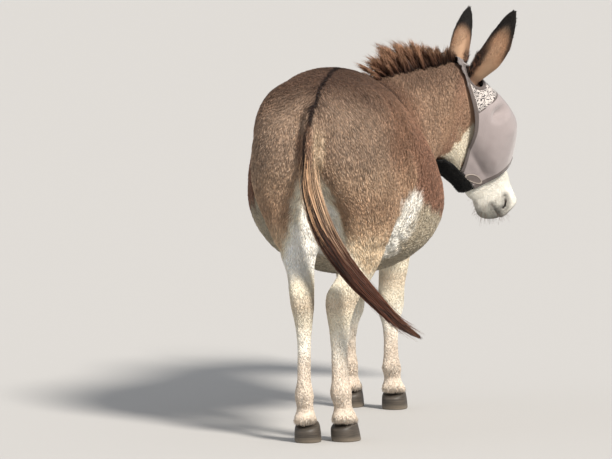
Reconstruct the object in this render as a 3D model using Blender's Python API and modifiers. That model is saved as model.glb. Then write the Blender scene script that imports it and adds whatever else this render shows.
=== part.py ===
"""A standing donkey at life size, its neck and head turned to its right, wearing a fly mask.

The flesh is modelled whole: lofts for the trunk, neck, head, legs and tail, with ellipsoids for the
muscles and bony points, are fused by a voxel remesh, smoothed, thinned and then parted by thin cuts.
Forward is -Y, the animal's right is -X, the floor is z = 0.
"""

import math

import bmesh
import bpy
from mathutils import Matrix, Vector
from mathutils.bvhtree import BVHTree

# Driving sizes, metres
HEIGHT = 1.06  # floor to croup
LENGTH = 1.06  # point of buttock to point of shoulder
HEAD_LENGTH = 0.52  # poll to upper lip
EAR_LENGTH = 0.256
EYE_RADIUS = 0.0195
MASK_OFF = 0.006  # the mask's clearance over the skin
MASK_SEAM, MASK_FRONT = 0.135, 0.357  # where the print ends and where the mask ends, from the poll
FLESH_FACES = 3700
GAP = 0.0003  # clearance between neighbouring solids
VOXEL = 0.0075
HEAD_YAW, HEAD_PITCH, HEAD_ROLL = 42.0, 57.5, 12.0  # degrees: to its right, nose down, right side low
POLL = (1.225, 0.222, 1.048)  # forward of the buttock, to the right, up
RING = 28  # points round a loft


def place(forward, right, up):
    """A point given from the buttock forwards, to the animal's right, and up from the floor."""
    return Vector((-right, -forward, up))


def line(points):
    """A smooth line through {position: value}, which never overshoots its points."""
    keys = sorted(points)
    values = [points[k] for k in keys]
    steps = [(values[i + 1] - values[i]) / (keys[i + 1] - keys[i]) for i in range(len(keys) - 1)]
    slopes = [steps[0]]
    for before, after in zip(steps, steps[1:]):
        slopes.append(0.0 if before * after <= 0 else 2 * before * after / (before + after))
    slopes.append(steps[-1])

    def value(t):
        t = min(max(t, keys[0]), keys[-1])
        i = max(j for j in range(len(keys) - 1) if keys[j] <= t)
        span = keys[i + 1] - keys[i]
        f = (t - keys[i]) / span
        rise = values[i] * (1 + 2 * f) * (1 - f) ** 2 + values[i + 1] * f * f * (3 - 2 * f)
        return rise + span * (slopes[i] * f * (1 - f) ** 2 - slopes[i + 1] * f * f * (1 - f))

    return value


def spread(low, high, count):
    return [low + (high - low) * i / (count - 1) for i in range(count)]


# ---------------------------------------------------------------- mesh making


def oval(centre, side, up, half, low, high, flat_low=2.0, flat_high=2.0):
    """A ring of points: an oval with its own depth and squareness below and above the centre."""
    row = []
    for k in range(RING):
        angle = 2 * math.pi * k / RING
        c, s = math.cos(angle), math.sin(angle)
        power = flat_high if s > 0 else flat_low
        across = math.copysign(abs(c) ** (2 / power), c) * half
        rise = math.copysign(abs(s) ** (2 / power), s) * (high if s > 0 else low)
        row.append(centre + side * across + up * rise)
    return row


def through(points, each=3):
    """A smooth closed ring through a loop of points."""
    count = len(points)
    row = []
    for i in range(count):
        a, b, c, d = (points[(i + j) % count] for j in (-1, 0, 1, 2))
        for f in (j / each for j in range(each)):
            row.append(0.5 * (2 * b + (c - a) * f + (2 * a - 5 * b + 4 * c - d) * f * f
                              + (3 * b - a - 3 * c + d) * f ** 3))
    return row


def add_loft(bm, rings):
    """Joins rings of points into one closed tube."""
    rows = [[bm.verts.new(p) for p in ring] for ring in rings]
    count = len(rows[0])
    for first, second in zip(rows, rows[1:]):
        for k in range(count):
            j = (k + 1) % count
            bm.faces.new((first[k], first[j], second[j], second[k]))
    bm.faces.new(reversed(rows[0]))
    bm.faces.new(rows[-1])


def add_ball(bm, centre, radii, frame=None):
    """An ellipsoid for a muscle or a bony point; frame turns its axes."""
    size = Matrix.Diagonal((*radii, 1.0))
    turn = frame.to_3x3().to_4x4() if frame else Matrix.Identity(4)
    bmesh.ops.create_uvsphere(
        bm, u_segments=20, v_segments=14, radius=1.0, matrix=Matrix.Translation(centre) @ turn @ size
    )


def mesh_object(name, bm):
    bmesh.ops.recalc_face_normals(bm, faces=bm.faces)
    mesh = bpy.data.meshes.new(name)
    bm.to_mesh(mesh)
    bm.free()
    obj = bpy.data.objects.new(name, mesh)
    bpy.context.scene.collection.objects.link(obj)
    return obj


def bake(obj):
    """Applies the object's modifiers to its mesh."""
    bpy.context.view_layer.update()
    graph = bpy.context.evaluated_depsgraph_get()
    mesh = bpy.data.meshes.new_from_object(obj.evaluated_get(graph))
    obj.modifiers.clear()
    obj.data = mesh
    return obj


def copy_of(obj, name):
    twin = bpy.data.objects.new(name, obj.data.copy())
    bpy.context.scene.collection.objects.link(twin)
    return twin


def swollen(obj, by):
    """A copy with its surface moved out by a distance, for cutting a neighbour with a gap."""
    twin = copy_of(obj, "cutter")
    bm = bmesh.new()
    bm.from_mesh(twin.data)
    bm.normal_update()
    moves = [(v, v.normal * by) for v in bm.verts]
    for v, move in moves:
        v.co += move
    bm.to_mesh(twin.data)
    bm.free()
    return twin


def largest_piece(obj):
    """Keeps the biggest connected piece and drops the crumbs that a cut leaves."""
    bm = bmesh.new()
    bm.from_mesh(obj.data)
    left = set(bm.verts)
    islands = []
    while left:
        stack = [left.pop()]
        island = set(stack)
        while stack:
            for edge in stack.pop().link_edges:
                for v in edge.verts:
                    if v in left:
                        left.discard(v)
                        island.add(v)
                        stack.append(v)
        islands.append(island)
    keep = max(islands, key=len)
    bmesh.ops.delete(bm, geom=[v for v in bm.verts if v not in keep], context="VERTS")
    bm.to_mesh(obj.data)
    bm.free()
    return obj


def boolean(obj, other, operation):
    cut = obj.modifiers.new(operation.lower(), "BOOLEAN")
    cut.operation = operation
    cut.solver = "EXACT"
    cut.object = other
    bake(obj)
    return largest_piece(obj)


def remove(*objects):
    for obj in objects:
        bpy.data.objects.remove(obj)


# ---------------------------------------------------------------- head frame

yaw, pitch, roll = (math.radians(a) for a in (HEAD_YAW, HEAD_PITCH, HEAD_ROLL))
NOSE = place(math.cos(pitch) * math.cos(yaw), math.cos(pitch) * math.sin(yaw), -math.sin(pitch))
level_side = place(-math.sin(yaw), math.cos(yaw), 0.0)
level_brow = level_side.cross(NOSE)
SIDE = level_side * math.cos(roll) - level_brow * math.sin(roll)  # towards its right ear
BROW = SIDE.cross(NOSE)  # out of the forehead
HEAD_AT = place(*POLL)
HEAD_FRAME = Matrix((NOSE, SIDE, BROW)).transposed()


def on_head(along, right, out):
    """A point from the poll towards the nose, to the right, and out of the forehead."""
    return HEAD_AT + NOSE * along + SIDE * right + BROW * out


# ---------------------------------------------------------------- flesh


def add_trunk(bm):
    top = line({0.0: 0.80, 0.03: 0.89, 0.08: 0.946, 0.16: 0.98, 0.28: 1.0, 0.4: 0.99, 0.55: 0.962,
                0.7: 0.947, 0.8: 0.952, 0.87: 0.955, 0.95: 0.90, 1.02: 0.80, 1.045: 0.75})
    bottom = line({0.0: 0.74, 0.03: 0.66, 0.1: 0.6, 0.2: 0.545, 0.3: 0.485, 0.42: 0.428, 0.52: 0.412,
                   0.62: 0.414, 0.72: 0.432, 0.82: 0.465, 0.9: 0.50, 1.0: 0.59, 1.045: 0.70})
    half = line({0.0: 0.03, 0.03: 0.10, 0.08: 0.148, 0.16: 0.184, 0.26: 0.208, 0.36: 0.240, 0.44: 0.268,
                 0.5: 0.276, 0.56: 0.272, 0.64: 0.248, 0.74: 0.209, 0.84: 0.173, 0.92: 0.150, 1.0: 0.112,
                 1.045: 0.05})
    widest = line({0.0: 0.77, 0.2: 0.78, 0.3: 0.75, 0.4: 0.68, 0.5: 0.63, 0.6: 0.62, 0.7: 0.625, 0.8: 0.65,
                   1.045: 0.72})
    roof = line({0.0: 2.1, 0.3: 2.1, 0.42: 1.85, 0.55: 1.65, 0.75: 1.5, 0.9: 1.5, 1.045: 2.0})
    rings = []
    for t in spread(0.0, 1.045, 30):
        z = widest(t) * HEIGHT
        rings.append(oval(place(t * LENGTH, 0, z), place(0, 1, 0), Vector((0, 0, 1)), half(t) * HEIGHT,
                          z - bottom(t) * HEIGHT, top(t) * HEIGHT - z, 2.0, roof(t)))
    add_loft(bm, rings)
    for side in (-1, 1):
        add_ball(bm, place(0.19, side * 0.078, 0.87), (0.13, 0.10, 0.158))  # gluteal mass
        add_ball(bm, place(0.36, side * 0.145, 0.93), (0.05, 0.055, 0.045))  # point of hip
        add_ball(bm, place(0.06, side * 0.075, 0.80), (0.07, 0.085, 0.13))  # buttock
        add_ball(bm, place(0.90, side * 0.09, 0.73), (0.075, 0.088, 0.18))  # shoulder blade
        add_ball(bm, place(0.99, side * 0.09, 0.68), (0.075, 0.075, 0.10))  # point of shoulder
    add_ball(bm, place(0.98, 0, 0.66), (0.10, 0.11, 0.15))  # breast
    add_ball(bm, place(1.02, 0.03, 0.77), (0.09, 0.10, 0.12))  # base of the throat


HIND_LEG = {  # height over HEIGHT: front, back, outer, inner, in metres
    0.88: (0.31, 0.05, 0.17, 0.02), 0.80: (0.345, 0.012, 0.20, 0.01), 0.72: (0.365, 0.0, 0.206, 0.008),
    0.65: (0.362, 0.008, 0.198, 0.010), 0.59: (0.325, 0.026, 0.178, 0.014), 0.53: (0.250, 0.034, 0.148, 0.018),
    0.48: (0.190, 0.026, 0.124, 0.022), 0.44: (0.150, 0.0, 0.108, 0.022), 0.405: (0.124, -0.028, 0.100, 0.020),
    0.375: (0.108, -0.026, 0.098, 0.020), 0.345: (0.098, -0.008, 0.094, 0.025), 0.30: (0.087, 0.010, 0.089, 0.031),
    0.24: (0.080, 0.015, 0.087, 0.033), 0.17: (0.080, 0.014, 0.088, 0.033), 0.135: (0.089, 0.009, 0.096, 0.026),
    0.11: (0.094, 0.020, 0.090, 0.033), 0.085: (0.108, 0.043, 0.091, 0.034), 0.05: (0.128, 0.050, 0.098, 0.028),
}
FORE_LEG = {
    0.88: (0.98, 0.84, 0.10, 0.03), 0.78: (1.02, 0.80, 0.145, 0.03), 0.70: (1.04, 0.79, 0.172, 0.03),
    0.62: (1.035, 0.79, 0.170, 0.026), 0.57: (1.015, 0.806, 0.157, 0.024), 0.52: (0.99, 0.832, 0.143, 0.022),
    0.46: (0.968, 0.854, 0.131, 0.024), 0.40: (0.956, 0.870, 0.121, 0.028), 0.345: (0.950, 0.875, 0.112, 0.028),
    0.31: (0.953, 0.869, 0.113, 0.026), 0.28: (0.949, 0.869, 0.110, 0.028), 0.25: (0.940, 0.874, 0.102, 0.038),
    0.20: (0.934, 0.876, 0.098, 0.044), 0.15: (0.937, 0.874, 0.099, 0.043), 0.125: (0.946, 0.869, 0.106, 0.036),
    0.10: (0.952, 0.881, 0.100, 0.042), 0.08: (0.962, 0.902, 0.099, 0.043), 0.05: (0.984, 0.905, 0.107, 0.035),
}
STANCE = {  # leg: its outlines, side, move forward at the hoof, turn of the toe, move right by height
    "hind_left": (HIND_LEG, -1, -0.015, 0.0, {0.05: 0.038, 0.30: 0.036, 0.40: 0.030, 0.50: 0.022, 0.7: 0.0}),
    "hind_right": (HIND_LEG, 1, 0.03, 22.0, {0.05: 0.010, 0.30: 0.004, 0.36: 0.007, 0.40: 0.019, 0.47: 0.045,
                                              0.55: 0.038, 0.75: 0.0}),
    "fore_left": (FORE_LEG, -1, 0.01, 0.0, {0.05: 0.010, 0.20: 0.012, 0.30: 0.018, 0.45: 0.010, 0.7: 0.0}),
    "fore_right": (FORE_LEG, 1, -0.02, 4.0, {0.05: 0.006, 0.28: 0.002, 0.45: 0.006, 0.7: 0.0}),
}


SLIM = {  # leg: its width against the outlines, by height
    "hind_left": {0.05: 0.95, 0.12: 0.92, 0.17: 0.78, 0.26: 0.78, 0.34: 0.86, 0.44: 0.88, 0.53: 0.93, 0.65: 1.0},
    "hind_right": {0.05: 1.0, 0.12: 0.96, 0.17: 0.90, 0.26: 0.90, 0.34: 0.96, 0.40: 1.0},
    "fore_left": {0.05: 1.0, 0.12: 0.96, 0.16: 0.88, 0.23: 0.88, 0.29: 1.0},
    "fore_right": {0.05: 1.0, 0.12: 0.96, 0.16: 0.88, 0.23: 0.88, 0.29: 1.0},
}


def leg_axis(leg, t):
    """The middle of a leg at a height over HEIGHT, with its half width and half depth."""
    table, side, forward, turn, sway = STANCE[leg]
    f, b, o, i = (line({z: row[n] for z, row in table.items()})(t) for n in range(4))
    step = line({0.05: 1.0, 0.4: 0.85, 0.75: 0.0, 0.88: 0.0})(t)
    centre = place((f + b) / 2 + forward * step, side * (o + i) / 2 + line(sway)(t), t * HEIGHT)
    twist = math.radians(turn * side) * line({0.05: 1.0, 0.42: 1.0, 0.6: 0.0, 0.88: 0.0})(t)
    across = place(-math.sin(twist), math.cos(twist), 0)
    ahead = place(math.cos(twist), math.sin(twist), 0)
    return centre, across, ahead, (o - i) / 2 * line(SLIM[leg])(t), (f - b) / 2


def add_leg(bm, leg):
    rings = []
    for t in spread(0.05, 0.5, 34) + spread(0.52, 0.88, 14):
        centre, across, ahead, half_wide, half_deep = leg_axis(leg, t)
        rings.append(oval(centre, across, ahead, half_wide, half_deep, half_deep, 2.2, 2.2))
    add_loft(bm, rings)


def neck_frame(t):
    """The middle of the neck, its way forward, its axis across and its axis up, from withers to poll."""
    start, start_way = place(0.83, 0.02, 0.80), place(0.14, 0.07, 0.07)
    end, end_way = on_head(0.075, 0.0, -0.085), place(0.12, 0.09, 0.04)
    weights = (1 - t) ** 3, 3 * t * (1 - t) ** 2, 3 * t * t * (1 - t), t ** 3
    points = start, start + start_way, end - end_way, end
    centre = sum((p * w for p, w in zip(points, weights)), Vector())
    way = start_way.lerp(end_way, t).normalized()
    side = way.cross(Vector((0, 0, 1))).normalized()
    side = side.lerp(SIDE, 0.45 * t * t).normalized()
    return centre, way, side, side.cross(way)


def add_neck(bm):
    high = line({0: 0.18, 0.35: 0.165, 0.7: 0.13, 1: 0.10})
    low = line({0: 0.23, 0.35: 0.215, 0.7: 0.17, 1: 0.12})
    half = line({0: 0.125, 0.35: 0.105, 0.7: 0.086, 1: 0.075})
    rings = []
    for t in spread(0, 1, 16):
        centre, _, side, up = neck_frame(t)
        rings.append(oval(centre, side, up, half(t), low(t), high(t)))
    add_loft(bm, rings)


def add_head(bm):
    k = HEAD_LENGTH / 0.5
    crown = line({-0.02: -0.03, 0.0: -0.006, 0.04: 0.010, 0.1: 0.022, 0.15: 0.023, 0.2: 0.015, 0.28: -0.002,
                  0.36: -0.017, 0.42: -0.029, 0.46: -0.042, 0.485: -0.06, 0.5: -0.085})
    brow = line({-0.02: 0.02, 0.0: 0.04, 0.05: 0.050, 0.1: 0.064, 0.15: 0.076, 0.18: 0.075, 0.21: 0.062,
                 0.26: 0.046, 0.32: 0.034, 0.4: 0.031, 0.45: 0.033, 0.485: 0.025, 0.5: 0.012})
    cheek = line({-0.02: 0.03, 0.0: 0.05, 0.05: 0.065, 0.1: 0.079, 0.15: 0.084, 0.2: 0.076, 0.26: 0.062,
                  0.32: 0.053, 0.38: 0.049, 0.43: 0.052, 0.465: 0.050, 0.49: 0.036, 0.5: 0.02})
    jaw = line({-0.02: 0.02, 0.0: 0.035, 0.05: 0.048, 0.1: 0.062, 0.16: 0.068, 0.22: 0.060, 0.28: 0.047,
                0.34: 0.038, 0.4: 0.037, 0.44: 0.040, 0.47: 0.036, 0.5: 0.015})
    chin = line({-0.02: -0.09, 0.0: -0.125, 0.05: -0.17, 0.1: -0.212, 0.15: -0.232, 0.2: -0.230, 0.26: -0.205,
                 0.33: -0.178, 0.39: -0.169, 0.43: -0.162, 0.46: -0.160, 0.485: -0.143, 0.5: -0.105})
    rings = []
    for t in spread(-0.02, 0.5, 36):
        top, low = crown(t), chin(t)
        span = top - low
        half_ring = [(0.55 * brow(t), top - 0.012 * span), (brow(t), top - 0.11 * span),
                     (cheek(t), top - 0.36 * span), (jaw(t), top - 0.72 * span), (0.62 * jaw(t), low + 0.07 * span)]
        loop = [(0.0, top)] + half_ring + [(0.0, low)] + [(-x, y) for x, y in reversed(half_ring)]
        rings.append(through([on_head(t * k, x * k, y * k) for x, y in loop]))
    add_loft(bm, rings)
    for side in (-1, 1):
        add_ball(bm, on_head(0.18 * k, side * 0.042 * k, -0.145 * k), (0.07, 0.034, 0.075), HEAD_FRAME)
        add_ball(bm, on_head(0.168 * k, side * 0.068 * k, -0.012 * k), (0.038, 0.021, 0.022), HEAD_FRAME)
        add_ball(bm, on_head(0.26 * k, side * 0.049 * k, -0.078 * k), (0.08, 0.016, 0.014), HEAD_FRAME)
        add_ball(bm, on_head(0.455 * k, side * 0.034 * k, -0.066 * k), (0.032, 0.022, 0.030), HEAD_FRAME)
    add_ball(bm, on_head(0.475 * k, 0, -0.092 * k), (0.026, 0.042, 0.026), HEAD_FRAME)
    add_ball(bm, on_head(0.450 * k, 0, -0.142 * k), (0.033, 0.033, 0.026), HEAD_FRAME)


def smooth(obj, times, wanted):
    """Evens out the fused surface where wanted(place) is true."""
    bm = bmesh.new()
    bm.from_mesh(obj.data)
    verts = [v for v in bm.verts if wanted(v.co)]
    for _ in range(times):
        bmesh.ops.smooth_vert(bm, verts=verts, factor=0.5, use_axis_x=True, use_axis_y=True, use_axis_z=True)
    bm.to_mesh(obj.data)
    bm.free()


def make_flesh():
    bm = bmesh.new()
    add_trunk(bm)
    for leg in STANCE:
        add_leg(bm, leg)
    add_neck(bm)
    add_head(bm)
    flesh = mesh_object("flesh", bm)
    fuse = flesh.modifiers.new("fuse", "REMESH")
    fuse.mode = "VOXEL"
    fuse.voxel_size = VOXEL
    bake(flesh)
    jaw = on_head(0.25, 0, -0.1)
    fine = lambda p: (p - jaw).length < 0.27 or p.z < 0.44 * HEIGHT
    smooth(flesh, 4, lambda p: True)
    smooth(flesh, 30, lambda p: not fine(p))
    spare = flesh.vertex_groups.new(name="spare")
    for v in flesh.data.vertices:
        near_head = max(0.0, 1 - max(0.0, (v.co - jaw).length - 0.25) / 0.1)
        spare.add([v.index], 1 - 0.9 * max(near_head, 0.25 if v.co.z < 0.42 * HEIGHT else 0.0), "REPLACE")
    thin = flesh.modifiers.new("thin", "DECIMATE")
    thin.ratio = FLESH_FACES / (2 * len(flesh.data.polygons))  # the remesh left four-sided faces
    thin.vertex_group = "spare"
    thin.vertex_group_factor = 0.00004
    bake(flesh)
    return largest_piece(flesh)


# ---------------------------------------------------------------- parting the flesh


def prism(corners, other_corners):
    """A closed block between two loops of corners."""
    bm = bmesh.new()
    add_loft(bm, [corners, other_corners])
    return mesh_object("cutter", bm)


def head_block(gap):
    """The block that holds the head: one face behind the jaw, one below it."""
    rear = [(0.002 - 0.56 * 0.35 + gap, 0.35), (0.002 + 0.56 * 0.262 + gap, -0.262 + gap)]
    loops = []
    for side in (-0.3, 0.3):
        loops.append([on_head(a, side, o) for a, o in rear + [(0.8, -0.262 + gap), (0.8, 0.35)]])
    return prism(*loops)


def leg_block(hind, right, gap):
    """The block that holds one leg: its top face slopes along the groin or the elbow."""
    if hind:
        middle, back, front = 0.03, (-0.20, 0.70), (0.335, 0.50)
    else:
        middle, back, front = 0.008, (0.76, 0.45), (1.2, 0.67)
    near, far = (middle + gap, middle + 0.4) if right else (middle - gap, middle - 0.4)
    top = [place(back[0], near, back[1] - gap), place(front[0], near, front[1] - gap),
           place(front[0], far, front[1] - gap), place(back[0], far, back[1] - gap)]
    return prism(top, [Vector((p.x, p.y, -0.2)) for p in top])


def neck_block(gap):
    """The block ahead of the withers and the shoulder, which holds the neck."""
    lean = Vector((0.824, 0.12, 0.555)).normalized()
    along = Vector((0.555, 0.0, -0.824)).normalized()
    level = lean.cross(along)
    corners = [(-0.4, -0.3), (-0.4, 0.6), (0.36 - gap, 0.6), (0.36 - gap, -0.3)]
    at = Vector((0.87, 0.0, 1.02)) + lean * gap
    near = [at + along * a + level * b for a, b in corners]
    far = [p + lean * 0.7 for p in near]
    return prism([place(*p) for p in near], [place(*p) for p in far])


def part_flesh(flesh):
    """Cuts the flesh into head, neck, four legs and trunk, a hair apart."""
    nodes = {}
    rest = flesh
    blocks = {"head": head_block, "neck": neck_block}
    for hind in (True, False):
        for right in (False, True):
            name = ("hind" if hind else "fore") + ("_leg_right" if right else "_leg_left")
            blocks[name] = lambda gap, h=hind, r=right: leg_block(h, r, gap)
    for name, block in blocks.items():
        inside, outside = block(GAP), block(0.0)
        nodes[name] = boolean(copy_of(rest, name), inside, "INTERSECT")
        rest = boolean(rest, outside, "DIFFERENCE")
        remove(inside, outside)
    rest.name = "trunk"
    nodes["trunk"] = rest
    return nodes


# ---------------------------------------------------------------- hooves, eyes, ears


def make_hoof(leg):
    """A hoof with a flat sole on the floor, its wall sloping up to a slanted coronet."""
    centre, across, ahead, half_wide, half_deep = leg_axis(leg, 0.05)
    rings = []
    for z, forward, deep, wide, slant in ((0.0, 0.014, 0.045, 0.036, 0.0), (0.003, 0.014, 0.047, 0.038, 0.0),
                                          (0.022, 0.008, 0.046, 0.038, 0.10), (0.048, 0.001, 0.042, 0.038, 0.30),
                                          (0.054, 0.0, 0.030, 0.028, 0.30)):
        ring = oval(Vector((centre.x, centre.y, z)) + ahead * forward, across, ahead, wide, deep, deep, 2.3, 2.1)
        middle = Vector((centre.x, centre.y, 0)) + ahead * forward
        rings.append([p + Vector((0, 0, slant * (p - middle).dot(ahead))) for p in ring[::2]])
    bm = bmesh.new()
    add_loft(bm, rings)
    return mesh_object("hoof_" + leg, bm)


def make_eye(name, side):
    bm = bmesh.new()
    k = HEAD_LENGTH / 0.5
    spot = Matrix.Translation(on_head(0.178 * k, side * 0.0675 * k, -0.03 * k)) @ HEAD_FRAME.to_4x4()
    bmesh.ops.create_uvsphere(bm, u_segments=14, v_segments=9, radius=EYE_RADIUS, matrix=spot)
    return mesh_object(name, bm)


EAR_WAY = {-1: (-0.44, -0.47, 0.75), 1: (-0.57, 0.36, 0.72)}  # towards the nose, to the right, out of the brow
EAR_OPENS = {-1: (1.0, -0.35, 0.1), 1: (1.0, 0.25, 0.1)}  # forward, right, up
EAR_CUP = {-1: (0.80, 1.1, 0.005, 0.965), 1: (1.0, 1.0, 0.014, 1.0)}  # share of width and depth, outward bend, share of length


def ear_frame(side):
    """Base, axis to the tip, axis across to the animal's right and the way the cup opens."""
    way = EAR_WAY[side]
    axis = (NOSE * way[0] + SIDE * way[1] + BROW * way[2]).normalized()
    open_way = place(*EAR_OPENS[side])
    open_way = (open_way - axis * open_way.dot(axis)).normalized()
    outward = axis.cross(open_way)
    outward *= math.copysign(1.0, outward.dot(SIDE))
    return on_head(0.060, side * 0.056, -0.006), axis, outward, open_way


def make_ear(name, side):
    """A long cupped leaf: a crescent section that is rolled at the base and opens towards the tip."""
    base, axis, across, open_way = ear_frame(side)
    broad, hollow, bow, long = EAR_CUP[side]
    wide = line({0.0: 0.020, 0.12: 0.028, 0.35: 0.040, 0.55: 0.039, 0.75: 0.030, 0.9: 0.018, 1.0: 0.003})
    deep = line({0.0: 0.024, 0.12: 0.031, 0.35: 0.032, 0.6: 0.022, 0.85: 0.010, 1.0: 0.003})
    wrap = line({0.0: 135.0, 0.15: 120.0, 0.4: 100.0, 0.7: 88.0, 1.0: 80.0})
    thick = line({0.0: 0.010, 0.2: 0.008, 0.7: 0.006, 1.0: 0.002})
    bend = line({0.0: 0.0, 0.5: bow, 1.0: 0.0})
    rings = []
    for t in spread(0.0, 1.0, 10):
        middle = base + axis * (EAR_LENGTH * long * t) + across * (side * bend(t)) - open_way * (0.5 * bend(t))
        outer, inner = [], []
        for f in spread(-1.0, 1.0, 8):
            angle = math.radians(f * wrap(t))
            x, y = math.sin(angle), -math.cos(angle)
            slim = thick(t) * (1 - 0.55 * abs(f) ** 3)
            outer.append(middle + across * (broad * wide(t) * x) + open_way * (hollow * deep(t) * y))
            inner.append(middle + across * ((broad * wide(t) - slim) * x) + open_way * ((hollow * deep(t) - slim) * y))
        rings.append(outer + inner[::-1])
    bm = bmesh.new()
    add_loft(bm, rings)
    return mesh_object(name, bm)


# ---------------------------------------------------------------- tail and mane


TAIL = {  # share of its length: forward, right, up, radius
    0.0: (0.075, 0.0, 0.955, 0.026), 0.08: (0.022, 0.0, 0.925, 0.027), 0.16: (-0.016, 0.0, 0.865, 0.026),
    0.29: (-0.042, 0.003, 0.75, 0.025), 0.37: (-0.052, 0.017, 0.68, 0.026), 0.45: (-0.060, 0.042, 0.61, 0.027),
    0.54: (-0.066, 0.084, 0.54, 0.027), 0.62: (-0.066, 0.126, 0.484, 0.026), 0.70: (-0.060, 0.168, 0.436, 0.022),
    0.78: (-0.053, 0.21, 0.391, 0.018), 0.86: (-0.046, 0.25, 0.352, 0.013), 1.0: (-0.040, 0.308, 0.31, 0.003),
}


def tail_point(t):
    return place(*(line({k: row[i] for k, row in TAIL.items()})(t) for i in range(3)))


def make_tail(name, first, last, count):
    """One length of the tail, a tube along its hanging curve."""
    radius = line({k: row[3] for k, row in TAIL.items()})
    rings = []
    for t in spread(first, last, count):
        way = (tail_point(min(t + 0.01, 1.0)) - tail_point(max(t - 0.01, 0.0))).normalized()
        side = way.cross(Vector((0, 1, 0.2))).normalized()
        rings.append(oval(tail_point(t), side, way.cross(side), radius(t), radius(t), radius(t))[::3])
    bm = bmesh.new()
    add_loft(bm, rings)
    return mesh_object(name, bm)


def skin_point(tree, start, way):
    """Where a line from inside the flesh leaves it."""
    hit = tree.ray_cast(start, way)[0]
    return hit if hit else start + way * 0.1


def make_mane(tree):
    """The upright mane, a ragged fin along the crest from the withers to the poll."""
    tall = line({0: 0.02, 0.1: 0.052, 0.35: 0.078, 0.6: 0.09, 0.85: 0.078, 1: 0.045})
    wide = line({0: 0.008, 0.2: 0.019, 0.8: 0.018, 1: 0.012})
    rings = []
    for i, t in enumerate(spread(0.0, 1.0, 18)):
        centre, way, side, up = neck_frame(0.24 + 0.77 * t)
        root = skin_point(tree, centre, up)
        height = tall(t) * (1.0, 0.88, 1.05, 0.93)[i % 4]
        tip = root + up * height - way * (0.3 * height)
        belly = root + up * height * 0.4 - way * (0.05 * height)
        low = root - up * 0.012
        w = wide(t)
        rings.append([low - side * w, low + side * w, belly + side * w, tip + side * 0.005,
                      tip - side * 0.005, belly - side * w])
    bm = bmesh.new()
    add_loft(bm, rings)
    return mesh_object("mane", bm)


# ---------------------------------------------------------------- fly mask


def mask_point(tree, t, angle, lift):
    """A point over the head, t of its length from the poll, at an angle round it, lifted off the skin."""
    k = HEAD_LENGTH / 0.5
    middle = line({0.0: -0.06, 0.1: -0.09, 0.2: -0.095, 0.35: -0.09, 0.45: -0.09})(t)
    a = math.radians(angle)
    way = SIDE * math.sin(a) + BROW * math.cos(a)
    hit = skin_point(tree, on_head(t * k, 0, middle * k), way)
    return hit + way * lift


def mask_rear(angle):
    """How far from the poll the mask starts, round the head."""
    return line({0: -0.005, 44: -0.002, 52: 0.018, 60: 0.06, 66: 0.095, 74: 0.13, 90: 0.185, 121: 0.24, 153: 0.29})(abs(angle))


def mask_lift(t, angle):
    """Clearance over the skin: close at the edges, standing off over the eyes and the brow."""
    dart = line({0.0: 0.0, 0.1: 0.012, 0.16: 0.042, 0.21: 0.055, 0.27: 0.038, 0.36: 0.0})(t)
    return MASK_OFF + dart * line({0: 0.85, 50: 1.0, 75: 0.7, 110: 0.0})(abs(angle))


def mask_sheet(tree, name, rear, front, angles, rows, base, thick):
    """A curved sheet over the head between two edges, round the given angles."""
    closed = angles[-1] - angles[0] > 350
    if closed:
        angles = angles[:-1]
    bm = bmesh.new()
    layers = []
    for extra in (0.0, thick):
        grid = []
        for r in range(rows):
            f = r / (rows - 1)
            ring = []
            for a in angles:
                turn = (a + 180) % 360 - 180
                t = rear(abs(turn)) * (1 - f) + front(abs(turn)) * f
                ring.append(bm.verts.new(mask_point(tree, t, turn, mask_lift(t, turn) + base + extra)))
            grid.append(ring)
        layers.append(grid)
    low, high = layers
    count = len(angles)
    steps = [(i, (i + 1) % count) for i in range(count if closed else count - 1)]
    for r in range(rows - 1):
        for i, j in steps:
            bm.faces.new((low[r][i], low[r][j], low[r + 1][j], low[r + 1][i]))
            bm.faces.new((high[r][i], high[r + 1][i], high[r + 1][j], high[r][j]))
    for r in (0, rows - 1):
        for i, j in steps:
            bm.faces.new((low[r][i], low[r][j], high[r][j], high[r][i]))
    if not closed:
        for i in (0, count - 1):
            for r in range(rows - 1):
                bm.faces.new((low[r][i], low[r + 1][i], high[r + 1][i], high[r][i]))
    return mesh_object(name, bm)


def ear_hole(side):
    """A rounded block along the ear's root, to open the mask for it."""
    base, axis, across, open_way = ear_frame(side)
    rings = [oval(base + axis * d, across, open_way, 0.031, 0.038, 0.034)[::2] for d in (-0.03, 0.03, 0.12)]
    bm = bmesh.new()
    add_loft(bm, rings)
    return mesh_object("cutter", bm)


def make_mask(tree):
    """The printed crown with its ear holes, the mesh body over eyes and cheeks, and the strap under the jaw."""
    body = mask_sheet(tree, "fly_mask", lambda a: max(MASK_SEAM + 0.0006, mask_rear(a)), lambda a: MASK_FRONT,
                      spread(-149.0, 149.0, 25), 7, 0.0, 0.002)
    crown = mask_sheet(tree, "mask_crown", mask_rear, lambda a: MASK_SEAM, spread(-75.0, 75.0, 19), 5, 0.0, 0.002)
    for side in (-1, 1):
        hole = ear_hole(side)
        boolean(crown, hole, "DIFFERENCE")
        remove(hole)
    strap = mask_sheet(tree, "mask_strap", line({150: 0.215, 180: 0.195}),
                       lambda a: MASK_FRONT - 0.004, spread(151.0, 209.0, 7), 5, 0.0, 0.007)
    return [body, crown, strap]


# ---------------------------------------------------------------- the whole animal


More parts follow.
